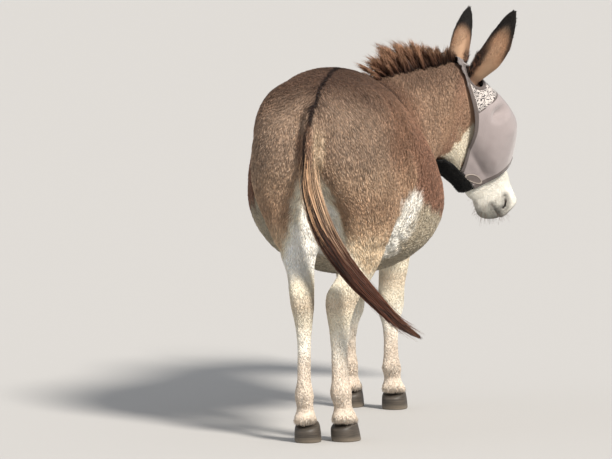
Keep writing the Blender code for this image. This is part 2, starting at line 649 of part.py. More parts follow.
COLOURS = {  # node: red, green, blue, roughness
    "coat": (0.20, 0.135, 0.095, 0.85), "legs": (0.48, 0.40, 0.31, 0.85), "hoof": (0.06, 0.05, 0.045, 0.5),
    "eye": (0.02, 0.012, 0.01, 0.1), "hair": (0.10, 0.055, 0.035, 0.8), "mesh": (0.42, 0.38, 0.40, 0.8),
    "print": (0.75, 0.72, 0.70, 0.8), "strap": (0.01, 0.01, 0.011, 0.9),
}


def paint(obj, look):
    """Gives the object its own plain material."""
    red, green, blue, rough = COLOURS[look]
    material = bpy.data.materials.new(obj.name)
    material.use_nodes = True
    shader = material.node_tree.nodes["Principled BSDF"]
    shader.inputs["Base Color"].default_value = (red, green, blue, 1.0)
    shader.inputs["Roughness"].default_value = rough
    shader.inputs["Metallic"].default_value = 0.0
    obj.data.materials.clear()
    obj.data.materials.append(material)


def cut_by(obj, other):
    """Takes a slightly swollen neighbour out of the object."""
    cutter = swollen(other, 2 * GAP)
    boolean(obj, cutter, "DIFFERENCE")
    remove(cutter)


def centre_on_floor(nodes):
    """Moves all of it so that the floor under the middle of its box is the origin."""
    points = [v.co for obj in nodes for v in obj.data.vertices]
    low = [min(p[i] for p in points) for i in range(3)]
    high = [max(p[i] for p in points) for i in range(3)]
    shift = Vector((-(low[0] + high[0]) / 2, -(low[1] + high[1]) / 2, 0))
    for obj in nodes:
        obj.data.transform(Matrix.Translation(shift))
    print("shift", tuple(shift))


def clear_scene():
    for obj in list(bpy.data.objects):
        bpy.data.objects.remove(obj)


def main():
    clear_scene()
    flesh = make_flesh()
    tree = BVHTree.FromObject(flesh, bpy.context.evaluated_depsgraph_get())
    looks = {}
    for side, word in ((-1, "left"), (1, "right")):
        eye = make_eye("eye_" + word, side)
        looks[eye] = "eye"
        socket = swollen(eye, 2 * GAP)
        boolean(flesh, socket, "DIFFERENCE")
        remove(socket)
        ear = make_ear("ear_" + word, side)
        cut_by(ear, flesh)
        looks[ear] = "coat"
    for leg in STANCE:
        hoof = make_hoof(leg)
        cut_by(hoof, flesh)
        looks[hoof] = "hoof"
    dock = make_tail("tail", 0.0, 0.478, 14)
    cut_by(dock, flesh)
    looks[dock] = "coat"
    looks[make_tail("tail_switch", 0.4805, 1.0, 14)] = "hair"
    mane = make_mane(tree)
    cut_by(mane, flesh)
    looks[mane] = "hair"
    mask = make_mask(tree)
    for piece, look in zip(mask, ("mesh", "print", "strap")):
        cut_by(piece, flesh)
        looks[piece] = look
    for name, node in part_flesh(flesh).items():
        looks[node] = "legs" if "leg" in name else "coat"
    whole = bpy.data.collections.new("donkey")
    bpy.context.scene.collection.children.link(whole)
    for node, look in looks.items():
        paint(node, look)
        bpy.context.scene.collection.objects.unlink(node)
        whole.objects.link(node)
    centre_on_floor(list(looks))


main()
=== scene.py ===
import math

import bmesh
import bpy
import numpy as np
from mathutils import Matrix, Vector
from mathutils.bvhtree import BVHTree
from mathutils.kdtree import KDTree


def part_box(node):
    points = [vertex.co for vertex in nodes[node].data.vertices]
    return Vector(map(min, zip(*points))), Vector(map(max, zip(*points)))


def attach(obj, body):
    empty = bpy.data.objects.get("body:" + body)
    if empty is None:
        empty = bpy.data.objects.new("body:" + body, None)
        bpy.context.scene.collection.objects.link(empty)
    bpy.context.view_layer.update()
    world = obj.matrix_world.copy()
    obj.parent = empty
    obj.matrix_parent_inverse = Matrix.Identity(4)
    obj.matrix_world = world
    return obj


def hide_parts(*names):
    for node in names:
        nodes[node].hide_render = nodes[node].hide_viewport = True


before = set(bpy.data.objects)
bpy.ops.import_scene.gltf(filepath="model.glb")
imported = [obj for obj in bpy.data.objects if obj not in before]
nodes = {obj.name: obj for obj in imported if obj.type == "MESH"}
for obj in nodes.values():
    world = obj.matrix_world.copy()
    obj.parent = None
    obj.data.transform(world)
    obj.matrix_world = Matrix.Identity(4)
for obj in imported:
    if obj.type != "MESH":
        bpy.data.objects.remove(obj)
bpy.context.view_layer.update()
print("frame loaded")

# where things lie: the animal's own axes, worked out from the eyes of the frame

# turns in degrees; size is the head's length over half a metre
head = {"yaw": 42.0, "pitch": 57.5, "roll": 12.0, "size": 1.04,
        "eyeAlong": 0.178, "eyeOut": -0.03, "pollForward": 1.225, "pollRight": 0.222}
yaw, pitch, roll = (math.radians(head[k]) for k in ("yaw", "pitch", "roll"))


def toWorld(forward, right, up):
    return Vector((-right, -forward, up))


def boxMiddle(node):
    low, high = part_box(node)
    return (low + high) / 2


nose = toWorld(math.cos(pitch) * math.cos(yaw), math.cos(pitch) * math.sin(yaw), -math.sin(pitch))
levelSide = toWorld(-math.sin(yaw), math.cos(yaw), 0.0)
side = levelSide * math.cos(roll) - levelSide.cross(nose) * math.sin(roll)
brow = side.cross(nose)
eyesMiddle = (boxMiddle("eye_left") + boxMiddle("eye_right")) / 2
headAt = eyesMiddle - nose * (head["eyeAlong"] * head["size"]) - brow * (head["eyeOut"] * head["size"])
bodyAt = Vector((headAt.x + head["pollRight"], headAt.y + head["pollForward"], 0.0))


def onHead(along, right, out):
    return headAt + nose * along + side * right + brow * out


def onBody(forward, right, up):
    return bodyAt + toWorld(forward, right, up)


def bodyCoords(points):
    return bodyAt.y - points[:, 1], bodyAt.x - points[:, 0], points[:, 2]


def headCoords(points):
    away = points - np.array(headAt)
    return away @ np.array(nose), away @ np.array(side), away @ np.array(brow)


def curveThrough(points):
    # a smooth line through {position: value} that never overshoots, for one number or an array
    keys = np.array(sorted(points), float)
    values = np.array([points[k] for k in sorted(points)], float)
    steps = np.diff(values) / np.diff(keys)
    slopes = np.concatenate([steps[:1], np.zeros(len(keys) - 2), steps[-1:]])
    product = steps[:-1] * steps[1:]
    total = steps[:-1] + steps[1:]
    slopes[1:-1] = np.where(product > 0, 2 * product / np.where(total == 0, 1, total), 0)

    def at(t):
        t = np.clip(t, keys[0], keys[-1])
        i = np.clip(np.searchsorted(keys, t, side="right") - 1, 0, len(keys) - 2)
        span = keys[i + 1] - keys[i]
        f = (t - keys[i]) / span
        ends = values[i] * (1 + 2 * f) * (1 - f) ** 2 + values[i + 1] * f * f * (3 - 2 * f)
        return ends + span * (slopes[i] * f * (1 - f) ** 2 - slopes[i + 1] * f * f * (1 - f))

    return at


def ease(low, high, x):
    # 0 below low, 1 above high, smooth between
    t = np.clip((x - low) / (high - low), 0, 1)
    return t * t * (3 - 2 * t)


def ripple(points, size, seed, waves=7):
    # soft noise from -1 to 1 whose swells are about size metres across
    rng = np.random.default_rng(seed)
    total = np.zeros(len(points))
    for _ in range(waves):
        way = rng.normal(size=3)
        way *= 2 * math.pi / (size * rng.uniform(0.7, 1.9) * np.linalg.norm(way))
        total += np.sin(points @ way + rng.uniform(0, 2 * math.pi))
    return total / math.sqrt(waves / 2) / 2


# materials
def hexColour(code):
    values = [int(code[i:i + 2], 16) / 255 for i in (0, 2, 4)]
    linear = [v / 12.92 if v <= 0.04045 else ((v + 0.055) / 1.055) ** 2.4 for v in values]
    return (*linear, 1.0)


def addNode(tree, kind, inputs=None, **settings):
    node = tree.nodes.new("ShaderNode" + kind)
    for key, value in settings.items():
        setattr(node, key, value)
    for key, value in (inputs or {}).items():
        if isinstance(value, bpy.types.NodeSocket):
            tree.links.new(value, node.inputs[key])
        else:
            node.inputs[key].default_value = value
    return node


def newMaterial(name, roughness, ior=1.5, **sockets):
    material = bpy.data.materials.new(name)
    material.use_nodes = True
    tree = material.node_tree
    shader = tree.nodes["Principled BSDF"]
    shader.inputs["Roughness"].default_value = roughness
    shader.inputs["IOR"].default_value = ior
    for key, value in sockets.items():
        shader.inputs[key.replace("_", " ")].default_value = value
    return material, tree, shader


def finishPiece(obj, material, body="root", smooth=True):
    obj.data.materials.clear()
    obj.data.materials.append(material)
    if smooth:
        obj.data.polygons.foreach_set("use_smooth", [True] * len(obj.data.polygons))
    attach(obj, body)
    return obj


# mesh helpers
def newObject(name, bm):
    mesh = bpy.data.meshes.new(name)
    bm.to_mesh(mesh)
    bm.free()
    obj = bpy.data.objects.new(name, mesh)
    bpy.context.scene.collection.objects.link(obj)
    return obj


def applyModifiers(obj):
    bpy.context.view_layer.update()
    graph = bpy.context.evaluated_depsgraph_get()
    mesh = bpy.data.meshes.new_from_object(obj.evaluated_get(graph))
    obj.modifiers.clear()
    obj.data = mesh
    return obj


def vertexPlaces(mesh):
    places = np.empty(len(mesh.vertices) * 3, np.float32)
    mesh.vertices.foreach_get("co", places)
    return places.reshape(-1, 3).astype(float)


def vertexNormals(mesh):
    normals = np.empty(len(mesh.vertices) * 3, np.float32)
    mesh.vertex_normals.foreach_get("vector", normals)
    return normals.reshape(-1, 3).astype(float)


def setPlaces(mesh, places):
    mesh.vertices.foreach_set("co", places.astype(np.float32).ravel())
    mesh.update()


def setTint(mesh, colours):
    layer = mesh.color_attributes.new("tint", "FLOAT_COLOR", "POINT")
    full = np.ones((len(colours), 4), np.float32)
    full[:, :3] = colours
    layer.data.foreach_set("color", full.ravel())


# the tail's line and the neck's line

tail = {  # share of its length: forward, right, up, radius
    0.0: (0.075, 0.0, 0.955, 0.026), 0.08: (0.022, 0.0, 0.925, 0.027), 0.16: (-0.016, 0.0, 0.865, 0.026),
    0.29: (-0.042, 0.003, 0.75, 0.025), 0.37: (-0.052, 0.017, 0.68, 0.026),
    0.45: (-0.060, 0.042, 0.61, 0.027), 0.54: (-0.066, 0.084, 0.54, 0.027),
    0.62: (-0.066, 0.126, 0.484, 0.026), 0.70: (-0.060, 0.168, 0.436, 0.022),
    0.78: (-0.053, 0.21, 0.391, 0.018), 0.86: (-0.046, 0.25, 0.352, 0.013),
    1.0: (-0.040, 0.308, 0.31, 0.003)}
tailLines = [curveThrough({k: row[i] for k, row in tail.items()}) for i in range(4)]


def tailPoints(t):
    forward, right, up = (tailLines[i](t) for i in range(3))
    return np.stack([bodyAt.x - right, bodyAt.y - forward, up], axis=-1)


def nearTail(points):
    # distance to the tail's line, and where along it
    shares = np.linspace(0, 1, 90)
    line = tailPoints(shares)
    away = np.full(len(points), 9.0)
    share = np.zeros(len(points))
    for s, p in zip(shares, line):
        d = np.linalg.norm(points - p, axis=1)
        closer = d < away
        away[closer], share[closer] = d[closer], s
    return away, share


def neckFrame(t):
    start, startWay = onBody(0.83, 0.02, 0.80), toWorld(0.14, 0.07, 0.07)
    end, endWay = onHead(0.075, 0.0, -0.085), toWorld(0.12, 0.09, 0.04)
    weights = (1 - t) ** 3, 3 * t * (1 - t) ** 2, 3 * t * t * (1 - t), t ** 3
    points = start, start + startWay, end - endWay, end
    centre = sum((p * w for p, w in zip(points, weights)), Vector())
    way = startWay.lerp(endWay, t).normalized()
    across = way.cross(Vector((0, 0, 1))).normalized()
    across = across.lerp(side, 0.45 * t * t).normalized()
    return centre, way, across, across.cross(way)


# ears

ear = {"length": {-1: 0.2470, 1: 0.256}, "aim": {-1: (-0.44, -0.47, 0.75), 1: (-0.57, 0.36, 0.72)},
       "opens": {-1: (1.0, -0.35, 0.1), 1: (1.0, 0.25, 0.1)},
       "broad": {-1: 0.80, 1: 1.0}, "hollow": {-1: 1.1, 1: 1.0}, "bow": {-1: 0.005, 1: 0.014},
       "wide": {0.0: 0.020, 0.12: 0.028, 0.35: 0.040, 0.55: 0.039, 0.75: 0.030, 0.9: 0.018, 1.0: 0.003},
       "deep": {0.0: 0.024, 0.12: 0.031, 0.35: 0.032, 0.6: 0.022, 0.85: 0.010, 1.0: 0.003},
       "wrap": {0.0: 135.0, 0.15: 120.0, 0.4: 100.0, 0.7: 88.0, 1.0: 80.0},
       "thick": {0.0: 0.010, 0.2: 0.008, 0.7: 0.006, 1.0: 0.002},
       "bend": {0.0: 0.0, 0.5: 1.0, 1.0: 0.0}}
earLines = {key: curveThrough(ear[key]) for key in ("wide", "deep", "wrap", "thick", "bend")}


def earFrame(hand):
    aim = ear["aim"][hand]
    axis = (nose * aim[0] + side * aim[1] + brow * aim[2]).normalized()
    openWay = toWorld(*ear["opens"][hand])
    openWay = (openWay - axis * openWay.dot(axis)).normalized()
    across = axis.cross(openWay)
    across *= math.copysign(1.0, across.dot(side))
    return onHead(0.060, hand * 0.056, -0.006), axis, across, openWay


def earPoint(hand, t, f, inside):
    # t from the root to the tip, f from -1 to 1 round the cup
    base, axis, across, openWay = earFrame(hand)
    s = max(t, 0.0)
    coat = 0.0014
    inward = coat + inside * (earLines["thick"](s) * (1 - 0.55 * abs(f) ** 3) - 2 * coat)
    bend = float(earLines["bend"](s)) * ear["bow"][hand]
    middle = base + axis * (ear["length"][hand] * t) + across * (hand * bend) - openWay * (0.5 * bend)
    angle = math.radians(f * earLines["wrap"](s))
    wide = max(ear["broad"][hand] * earLines["wide"](s) - inward, 0.001)
    deep = max(ear["hollow"][hand] * earLines["deep"](s) - inward, 0.001)
    return middle + across * (wide * math.sin(angle)) - openWay * (deep * math.cos(angle))


def makeEar(hand):
    bm = bmesh.new()
    rows, columns, rootShare, tipShare = 46, 22, -0.09, 0.992
    bmesh.ops.create_grid(bm, x_segments=columns, y_segments=rows, size=1.0)
    outer = list(bm.verts)
    spots = {v: (v.co.y, v.co.x) for v in outer}
    made = bmesh.ops.extrude_face_region(bm, geom=list(bm.faces))["geom"]
    for v in (g for g in made if isinstance(g, bmesh.types.BMVert)):
        y, x = v.co.y, v.co.x
        v.co = earPoint(hand, rootShare + (tipShare - rootShare) * (y + 1) / 2, x, 1)
    for v in outer:
        y, x = spots[v]
        v.co = earPoint(hand, rootShare + (tipShare - rootShare) * (y + 1) / 2, x, 0)
    bmesh.ops.recalc_face_normals(bm, faces=bm.faces)
    return newObject("ear", bm)


# the hide: one skin over head, neck, trunk, tail and legs

hoofNodes = ["hoof_fore_left", "hoof_fore_right", "hoof_hind_left", "hoof_hind_right"]
hide = {"apart": 0.014, "voxel": 0.0088, "grow": 0.0006, "evenings": 7, "flare": 0.33,
        "flesh": ["head", "neck", "trunk", "tail", "fore_leg_left", "fore_leg_right", "eye_left",
                  "eye_right"]}


def isHead(points):
    along, right, out = headCoords(points)
    ahead = ease(-0.025, 0.03, along - 0.002 + 0.56 * out)
    return ahead * ease(-0.31, -0.27, out) * ease(-0.15, -0.12, -np.abs(right)) * ease(-0.57, -0.56, -along)


def isLeg(points):
    forward, _, up = bodyCoords(points)
    return ease(-0.53, -0.47, -up) * np.maximum(ease(-0.35, -0.31, -forward), ease(0.77, 0.80, forward))


def coatDepth(points):
    # how far the hide lies under the tips of the coat
    along = headCoords(points)[0]
    onTheHead, onALeg = isHead(points), isLeg(points)
    depth = 0.0045 * (1 - onTheHead) * (1 - 0.45 * onALeg)
    return depth + onTheHead * (0.0022 - 0.0014 * ease(0.38, 0.44, along))


def evenOut(bm, verts, times):
    for _ in range(times):
        bmesh.ops.smooth_vert(bm, verts=verts, factor=0.5, use_axis_x=True, use_axis_y=True,
                              use_axis_z=True)


def refine(bm, wanted):
    # one finer level where wanted(places) is true, evened so that the coarse facets go
    faces = list(bm.faces)
    middles = np.array([f.calc_center_median() for f in faces])
    chosen = wanted(middles)
    picked = [f for f, yes in zip(faces, chosen) if yes]
    edges = list({e for f in picked for e in f.edges})
    bmesh.ops.subdivide_edges(bm, edges=edges, cuts=1, use_grid_fill=True)
    verts = list(bm.verts)
    near = wanted(np.array([v.co for v in verts]))
    evenOut(bm, [v for v, yes in zip(verts, near) if yes], 3)


def strokeAway(points, path):
    # distance from each point to a line of points
    best = np.full(len(points), 9.0)
    for a, b in zip(path[:-1], path[1:]):
        a, b = np.array(a), np.array(b)
        way = b - a
        share = np.clip((points - a) @ way / (way @ way), 0, 1)
        best = np.minimum(best, np.linalg.norm(points - a - share[:, None] * way, axis=1))
    return best


k = head["size"]
# what it is, head or body axes, its line, width and depth inwards in metres
# a line marked once isn't mirrored
strokes = [
    ("nostril", "head", [(0.430, 0.049, -0.080), (0.445, 0.048, -0.084), (0.456, 0.045, -0.092),
                         (0.459, 0.043, -0.099)],
     0.0045, 0.008),
    ("nostril rim", "head", [(0.404, 0.050, -0.062), (0.424, 0.052, -0.064), (0.446, 0.051, -0.069),
                             (0.462, 0.046, -0.080)],
     0.008, -0.004),
    ("nostril rim low", "head", [(0.412, 0.048, -0.090), (0.430, 0.050, -0.094), (0.446, 0.048, -0.099)],
     0.007, -0.0025),
    ("mouth", "head", [(0.500, 0.0, -0.112), (0.492, 0.022, -0.114), (0.472, 0.036, -0.119),
                       (0.448, 0.044, -0.126), (0.428, 0.046, -0.130)],
     0.0045, 0.007),
    ("upper lip", "head", [(0.500, 0.0, -0.100), (0.490, 0.024, -0.101), (0.466, 0.040, -0.107),
                           (0.440, 0.048, -0.116)],
     0.010, -0.002),
    ("chin groove", "head", [(0.400, 0.030, -0.150), (0.408, 0.0, -0.165)], 0.014, 0.004),
    ("jaw edge", "head", [(0.20, 0.062, -0.21), (0.14, 0.070, -0.225), (0.085, 0.072, -0.19),
                          (0.055, 0.068, -0.14)],
     0.012, -0.002),
    ("cheek crest", "head", [(0.22, 0.068, -0.055), (0.27, 0.060, -0.07), (0.31, 0.055, -0.08)], 0.009,
     -0.0025),
    ("jowl hollow", "head", [(0.03, 0.055, -0.09), (0.045, 0.06, -0.14), (0.07, 0.065, -0.19)], 0.02,
     0.004),
    ("nose bone", "head", [(0.22, 0.030, 0.0), (0.33, 0.026, -0.014), (0.40, 0.022, -0.026)], 0.010,
     -0.0015),
    ("flank fold", "body", [(0.300, 0.19, 0.935), (0.307, 0.215, 0.877), (0.351, 0.237, 0.803),
                            (0.384, 0.249, 0.744), (0.378, 0.241, 0.695), (0.364, 0.197, 0.608),
                            (0.396, 0.142, 0.524)],
     0.020, 0.009),
    ("thigh edge", "body", [(0.285, 0.215, 0.86), (0.315, 0.238, 0.78), (0.335, 0.240, 0.71),
                            (0.325, 0.200, 0.62)], 0.022, -0.004),
    ("hip bone", "body", [(0.280, 0.180, 0.942), (0.292, 0.196, 0.925)], 0.026, -0.007),
    ("rump groove", "body", [(0.03, 0.040, 0.90), (0.0, 0.045, 0.82), (0.01, 0.055, 0.73)], 0.016, 0.005),
    ("thigh muscle", "body", [(0.05, 0.110, 0.90), (0.005, 0.115, 0.80), (0.02, 0.120, 0.70),
                              (0.06, 0.125, 0.60)], 0.034, -0.004),
    ("thigh groove", "body", [(0.17, 0.200, 0.84), (0.13, 0.190, 0.74), (0.12, 0.170, 0.64)], 0.018, 0.004),
    ("stifle", "body", [(0.30, 0.185, 0.63), (0.29, 0.165, 0.59)], 0.030, -0.005),
    ("shoulder blade", "body", [(0.78, 0.135, 0.88), (0.86, 0.165, 0.78), (0.93, 0.165, 0.68)], 0.030,
     -0.006),
    ("elbow fold", "body", [(0.74, 0.165, 0.74), (0.745, 0.165, 0.64), (0.76, 0.13, 0.57)], 0.022, 0.007),
    ("belly crease", "body", [(0.395, 0.19, 0.56), (0.44, 0.175, 0.53), (0.50, 0.15, 0.50)], 0.009, 0.004),
    ("belly crease low", "body", [(0.42, 0.22, 0.60), (0.47, 0.21, 0.56), (0.54, 0.18, 0.52)], 0.008,
     0.0035),
    ("neck parting", "once", [(0.90, 0.100, 1.0), (0.95, 0.125, 0.985), (1.01, 0.155, 0.965),
                              (1.03, 0.168, 0.93)], 0.009, -0.004),
    ("neck crease", "once", [(0.915, 0.112, 0.965), (0.96, 0.145, 0.945), (1.0, 0.168, 0.915),
                             (1.01, 0.178, 0.86)], 0.010, 0.005),
    ("neck crease low", "once", [(0.93, 0.150, 0.90), (0.975, 0.172, 0.86), (1.0, 0.178, 0.79)], 0.012,
     0.004),
]
pushes = [  # on the head: middle, reach, move along, to the right and out
    ((0.480, 0.0, -0.060), 0.030, (0.006, 0.0, 0.0)),
    ((0.430, 0.030, -0.120), 0.022, (0.0, 0.002, 0.0))]


def strokeLines(axes, path):
    for hand in (1,) if axes == "once" else (-1, 1):
        if axes == "head":
            yield hand, [onHead(a * k, hand * r * k, o * k) for a, r, o in path]
        else:
            yield hand, [onBody(f, hand * r, u) for f, r, u in path]


def sculpt(mesh):
    places, normals = vertexPlaces(mesh), vertexNormals(mesh)
    axesNow = np.array([nose, side, brow])
    onTheHead = isHead(places)
    for middle, reach, move in pushes:
        for hand in (-1, 1) if middle[1] else (1,):
            spot = np.array(onHead(middle[0] * k, hand * middle[1] * k, middle[2] * k))
            weight = onTheHead * np.exp(-np.sum((places - spot) ** 2, axis=1) / reach ** 2)
            places += weight[:, None] * (np.array(move) @ axesNow)
    for _, axes, path, width, depth in strokes:
        for hand, line in strokeLines(axes, path):
            away = strokeAway(places, line)
            places -= normals * (depth * np.exp(-(away / width) ** 2))[:, None]
    setPlaces(mesh, places)


def hockWeight(places):
    forward, _, up = bodyCoords(places)
    return ease(0.575, 0.545, up) * ease(0.02, 0.06, up) * ease(0.40, 0.36, forward)


eye = {"radius": 0.0190, "segments": 48, "pupilWide": 0.0075, "pupilHigh": 0.0032, "iris": 0.0125,
       "slitLong": 0.0185, "slitHigh": 0.0105}


def eyeFrame(hand):
    out = (side * (hand * 0.92) + brow * 0.24 + nose * 0.18).normalized()
    along = (nose - out * nose.dot(out)).normalized()
    return boxMiddle("eye_right" if hand > 0 else "eye_left"), out, along, out.cross(along) * hand


def eyeSlit(points, hand):
    # 0 at the middle of the almond opening of the lids, 1 at its edge,
    # and the height of each point over the ball's middle
    middle, out, along, up = eyeFrame(hand)
    away = points - np.array(middle)
    x, y, z = (away @ np.array(axis) for axis in (along, up, out))
    high = eye["slitHigh"] * (1 - 0.35 * np.clip(x / eye["slitLong"], -1, 1) ** 2)
    slit = np.hypot(x / eye["slitLong"], y / high)
    return np.where(z > 0, slit, 9.0), z, np.clip(x * x + y * y, 0, eye["radius"] ** 2)


def openEyes(places):
    # the lids stand just over the ball, and the skin between them goes under its surface
    for hand in (-1, 1):
        out = np.array(eyeFrame(hand)[1])
        slit, z, reach = eyeSlit(places, hand)
        ball = np.sqrt(eye["radius"] ** 2 - reach)
        lid = (slit < 2.6) * ease(2.6, 1.6, slit) * ease(1.0, 1.12, slit)
        raised = np.maximum(z, ball + 0.0026)
        sunk = ball - 0.005
        inside = (slit < 1.05).astype(float)
        target = z + lid * (raised - z)
        target = target * (1 - inside) + sunk * inside
        places += out * (np.where(slit < 2.6, target - z, 0.0))[:, None]


def apartLegs():
    # the hind legs, held apart while the skin is fused so that their hocks don't grow together
    legs = {}
    for hand, name in ((1, "hind_leg_left"), (-1, "hind_leg_right")):
        bm = bmesh.new()
        bm.from_mesh(nodes[name].data)
        for v in bm.verts:
            v.co.x += hand * hide["apart"] * ease(0.575, 0.545, v.co.z) * ease(0.02, 0.06, v.co.z)
        legs[name] = bm
    return legs


def legsTogether(places, trees):
    # each point goes back the way its own leg was moved
    weight = hockWeight(places)
    for i in np.flatnonzero(weight > 0.001):
        spot = Vector(places[i])
        left, right = (tree.find_nearest(spot)[3] for tree in trees)
        places[i, 0] -= 0.8 * hide["apart"] * weight[i] * (1 if left < right else -1)


def coronetFlare(places):
    # the skin widens to meet the top of each hoof
    for node in hoofNodes:
        middle = boxMiddle(node)
        away = places[:, :2] - np.array(middle)[:2]
        low = ease(0.105, 0.058, places[:, 2]) * (np.linalg.norm(away, axis=1) < 0.07)
        places[:, :2] += away * (hide["flare"] * low)[:, None]


def makeHide():
    bm = bmesh.new()
    for name in hide["flesh"]:
        bm.from_mesh(nodes[name].data)
    trees = []
    for leg in apartLegs().values():
        trees.append(BVHTree.FromBMesh(leg))
        mesh = bpy.data.meshes.new("leg")
        leg.to_mesh(mesh)
        leg.free()
        bm.from_mesh(mesh)
        bpy.data.meshes.remove(mesh)
    bmesh.ops.remove_doubles(bm, verts=bm.verts, dist=0.0001)
    bm.normal_update()
    for v, move in [(v, v.normal * hide["grow"]) for v in bm.verts]:
        v.co += move
    skin = newObject("hide", bm)
    fuse = skin.modifiers.new("fuse", "REMESH")
    fuse.mode = "VOXEL"
    fuse.voxel_size = hide["voxel"]
    applyModifiers(skin)
    bm = bmesh.new()
    bm.from_mesh(skin.data)
    evenOut(bm, bm.verts, hide["evenings"])
    refine(bm, lambda p: isHead(p) > 0.3)
    refine(bm, lambda p: (isHead(p) > 0.3) & (headCoords(p)[0] > 0.36))
    refine(bm, lambda p: np.minimum(*(np.linalg.norm(p - np.array(eyeFrame(hand)[0]), axis=1)
                                      for hand in (-1, 1))) < 0.030)
    bmesh.ops.recalc_face_normals(bm, faces=bm.faces)
    bm.to_mesh(skin.data)
    bm.free()
    places = vertexPlaces(skin.data)
    legsTogether(places, trees)
    coronetFlare(places)
    setPlaces(skin.data, places)
    sculpt(skin.data)
    places, normals = vertexPlaces(skin.data), vertexNormals(skin.data)
    places -= normals * coatDepth(places)[:, None]
    away, share = nearTail(places)  # the dock thins towards its end, inside the hair
    pull = 0.55 * ease(0.14, 0.47, share) * ease(-0.045, -0.035, -away)
    places += (tailPoints(share) - places) * pull[:, None]
    openEyes(places)
    setPlaces(skin.data, places)
    for hand in (-1, 1):
        flap = makeEar(hand)
        union = skin.modifiers.new("ear", "BOOLEAN")
        union.operation = "UNION"
        union.solver = "EXACT"
        union.object = flap
        applyModifiers(skin)
        bpy.data.objects.remove(flap)
    print("hide", len(skin.data.vertices), "points")
    return skin


skin = makeHide()

# where the mask sits, in the head's own axes

mask = {"off": 0.006, "holeAt": (0.050, 36.0), "holeSize": (0.040, 14.5), "labelAt": (0.327, 138.0),
        "labelSize": (0.031, 0.0150), "seam": 0.135, "front": 0.357, "bodyAngle": 149.0, "crownAngle": 75.0,
        "rear": {0: -0.005, 44: -0.002, 52: 0.018, 60: 0.06, 66: 0.095, 74: 0.13, 90: 0.185, 121: 0.24,
                 153: 0.29},
        "middle": {0.0: -0.06, 0.1: -0.09, 0.2: -0.095, 0.35: -0.09, 0.45: -0.09},
        "dart": {0.0: 0.0, 0.1: 0.010, 0.16: 0.030, 0.21: 0.050, 0.25: 0.062, 0.29: 0.052, 0.33: 0.032,
                 0.37: 0.004},
        "round": {0: 1.0, 35: 0.98, 75: 0.55, 110: 0.0}}
maskRear, maskMiddle = curveThrough(mask["rear"]), curveThrough(mask["middle"])
maskDart, maskRound = curveThrough(mask["dart"]), curveThrough(mask["round"])


def underMask(points):
    along, right, out = headCoords(points)
    t = along / k
    angle = np.degrees(np.abs(np.arctan2(right, out - maskMiddle(t) * k)))
    ahead = ease(-mask["front"] - 0.002, -mask["front"] + 0.008, -t)
    return isHead(points) * ease(-0.006, 0.004, t - maskRear(angle)) * ahead


# markings, with painted sheen on the hind end and painted shade in the hollows of the muzzle and lids: the
# same for hide and coat

# the grey on the hind end is painted sheen, where light grazes the hair
# the near-black pit colour is painted shade in the hollows of the nostrils, the mouth line and the lids'
# opening
shades = {"brown": "876854", "rump": "584337", "warm": "876453", "greySheen": "9d8875", "tan": "bb9e82",
          "sand": "d6c1a4",
          "cream": "e4dbc7", "white": "f7f4ec", "belly": "b3a894", "stripe": "1e110c", "neck": "a38771",
          "pinkish": "d7c4b1", "muzzle": "f5f2e8", "lip": "7b7873", "chin": "8c8b83", "hollowShade": "1b1615",
          "ear": "9b795f", "earTip": "110c09", "earRim": "2a1c15", "earIn": "bba891", "eyeRing": "c9bea7"}
shades = {name: np.array(hexColour(code)[:3]) for name, code in shades.items()}
stripeLine = curveThrough({-0.06: -0.013, -0.03: -0.006, 0.0: -0.001, 0.086: 0.004, 0.15: 0.011, 0.3: 0.018,
                           0.9: 0.02})
bellyLine = curveThrough({0.28: 0.60, 0.33: 0.67, 0.365: 0.70, 0.40: 0.67, 0.46: 0.645, 0.56: 0.625,
                          0.70: 0.615, 0.80: 0.61,
                          0.90: 0.58, 1.0: 0.56})
flankPatch = [(0.372, 0.21, 0.66), (0.392, 0.18, 0.60), (0.40, 0.15, 0.55)]
innerLine = curveThrough({0.48: 0.15, 0.54: 0.105, 0.58: 0.085, 0.64: 0.068, 0.70: 0.052, 0.76: 0.03,
                          0.80: 0.0})


def earCoords(points, hand):
    base, axis, across, openWay = (np.array(v) for v in earFrame(hand))
    away = points - base
    t = away @ axis / ear["length"][hand]
    bend = earLines["bend"](t) * ear["bow"][hand]
    x = away @ across - hand * bend
    y = away @ openWay + 0.5 * bend
    f = np.degrees(np.arctan2(x, -y)) / earLines["wrap"](t)
    near = (t > 0.06) & (np.hypot(x, y) < 0.048) & (t < 1.1)
    wide, deep = ear["broad"][hand] * earLines["wide"](t), ear["hollow"][hand] * earLines["deep"](t)
    return t, f, near, np.hypot(x / wide, y / deep)


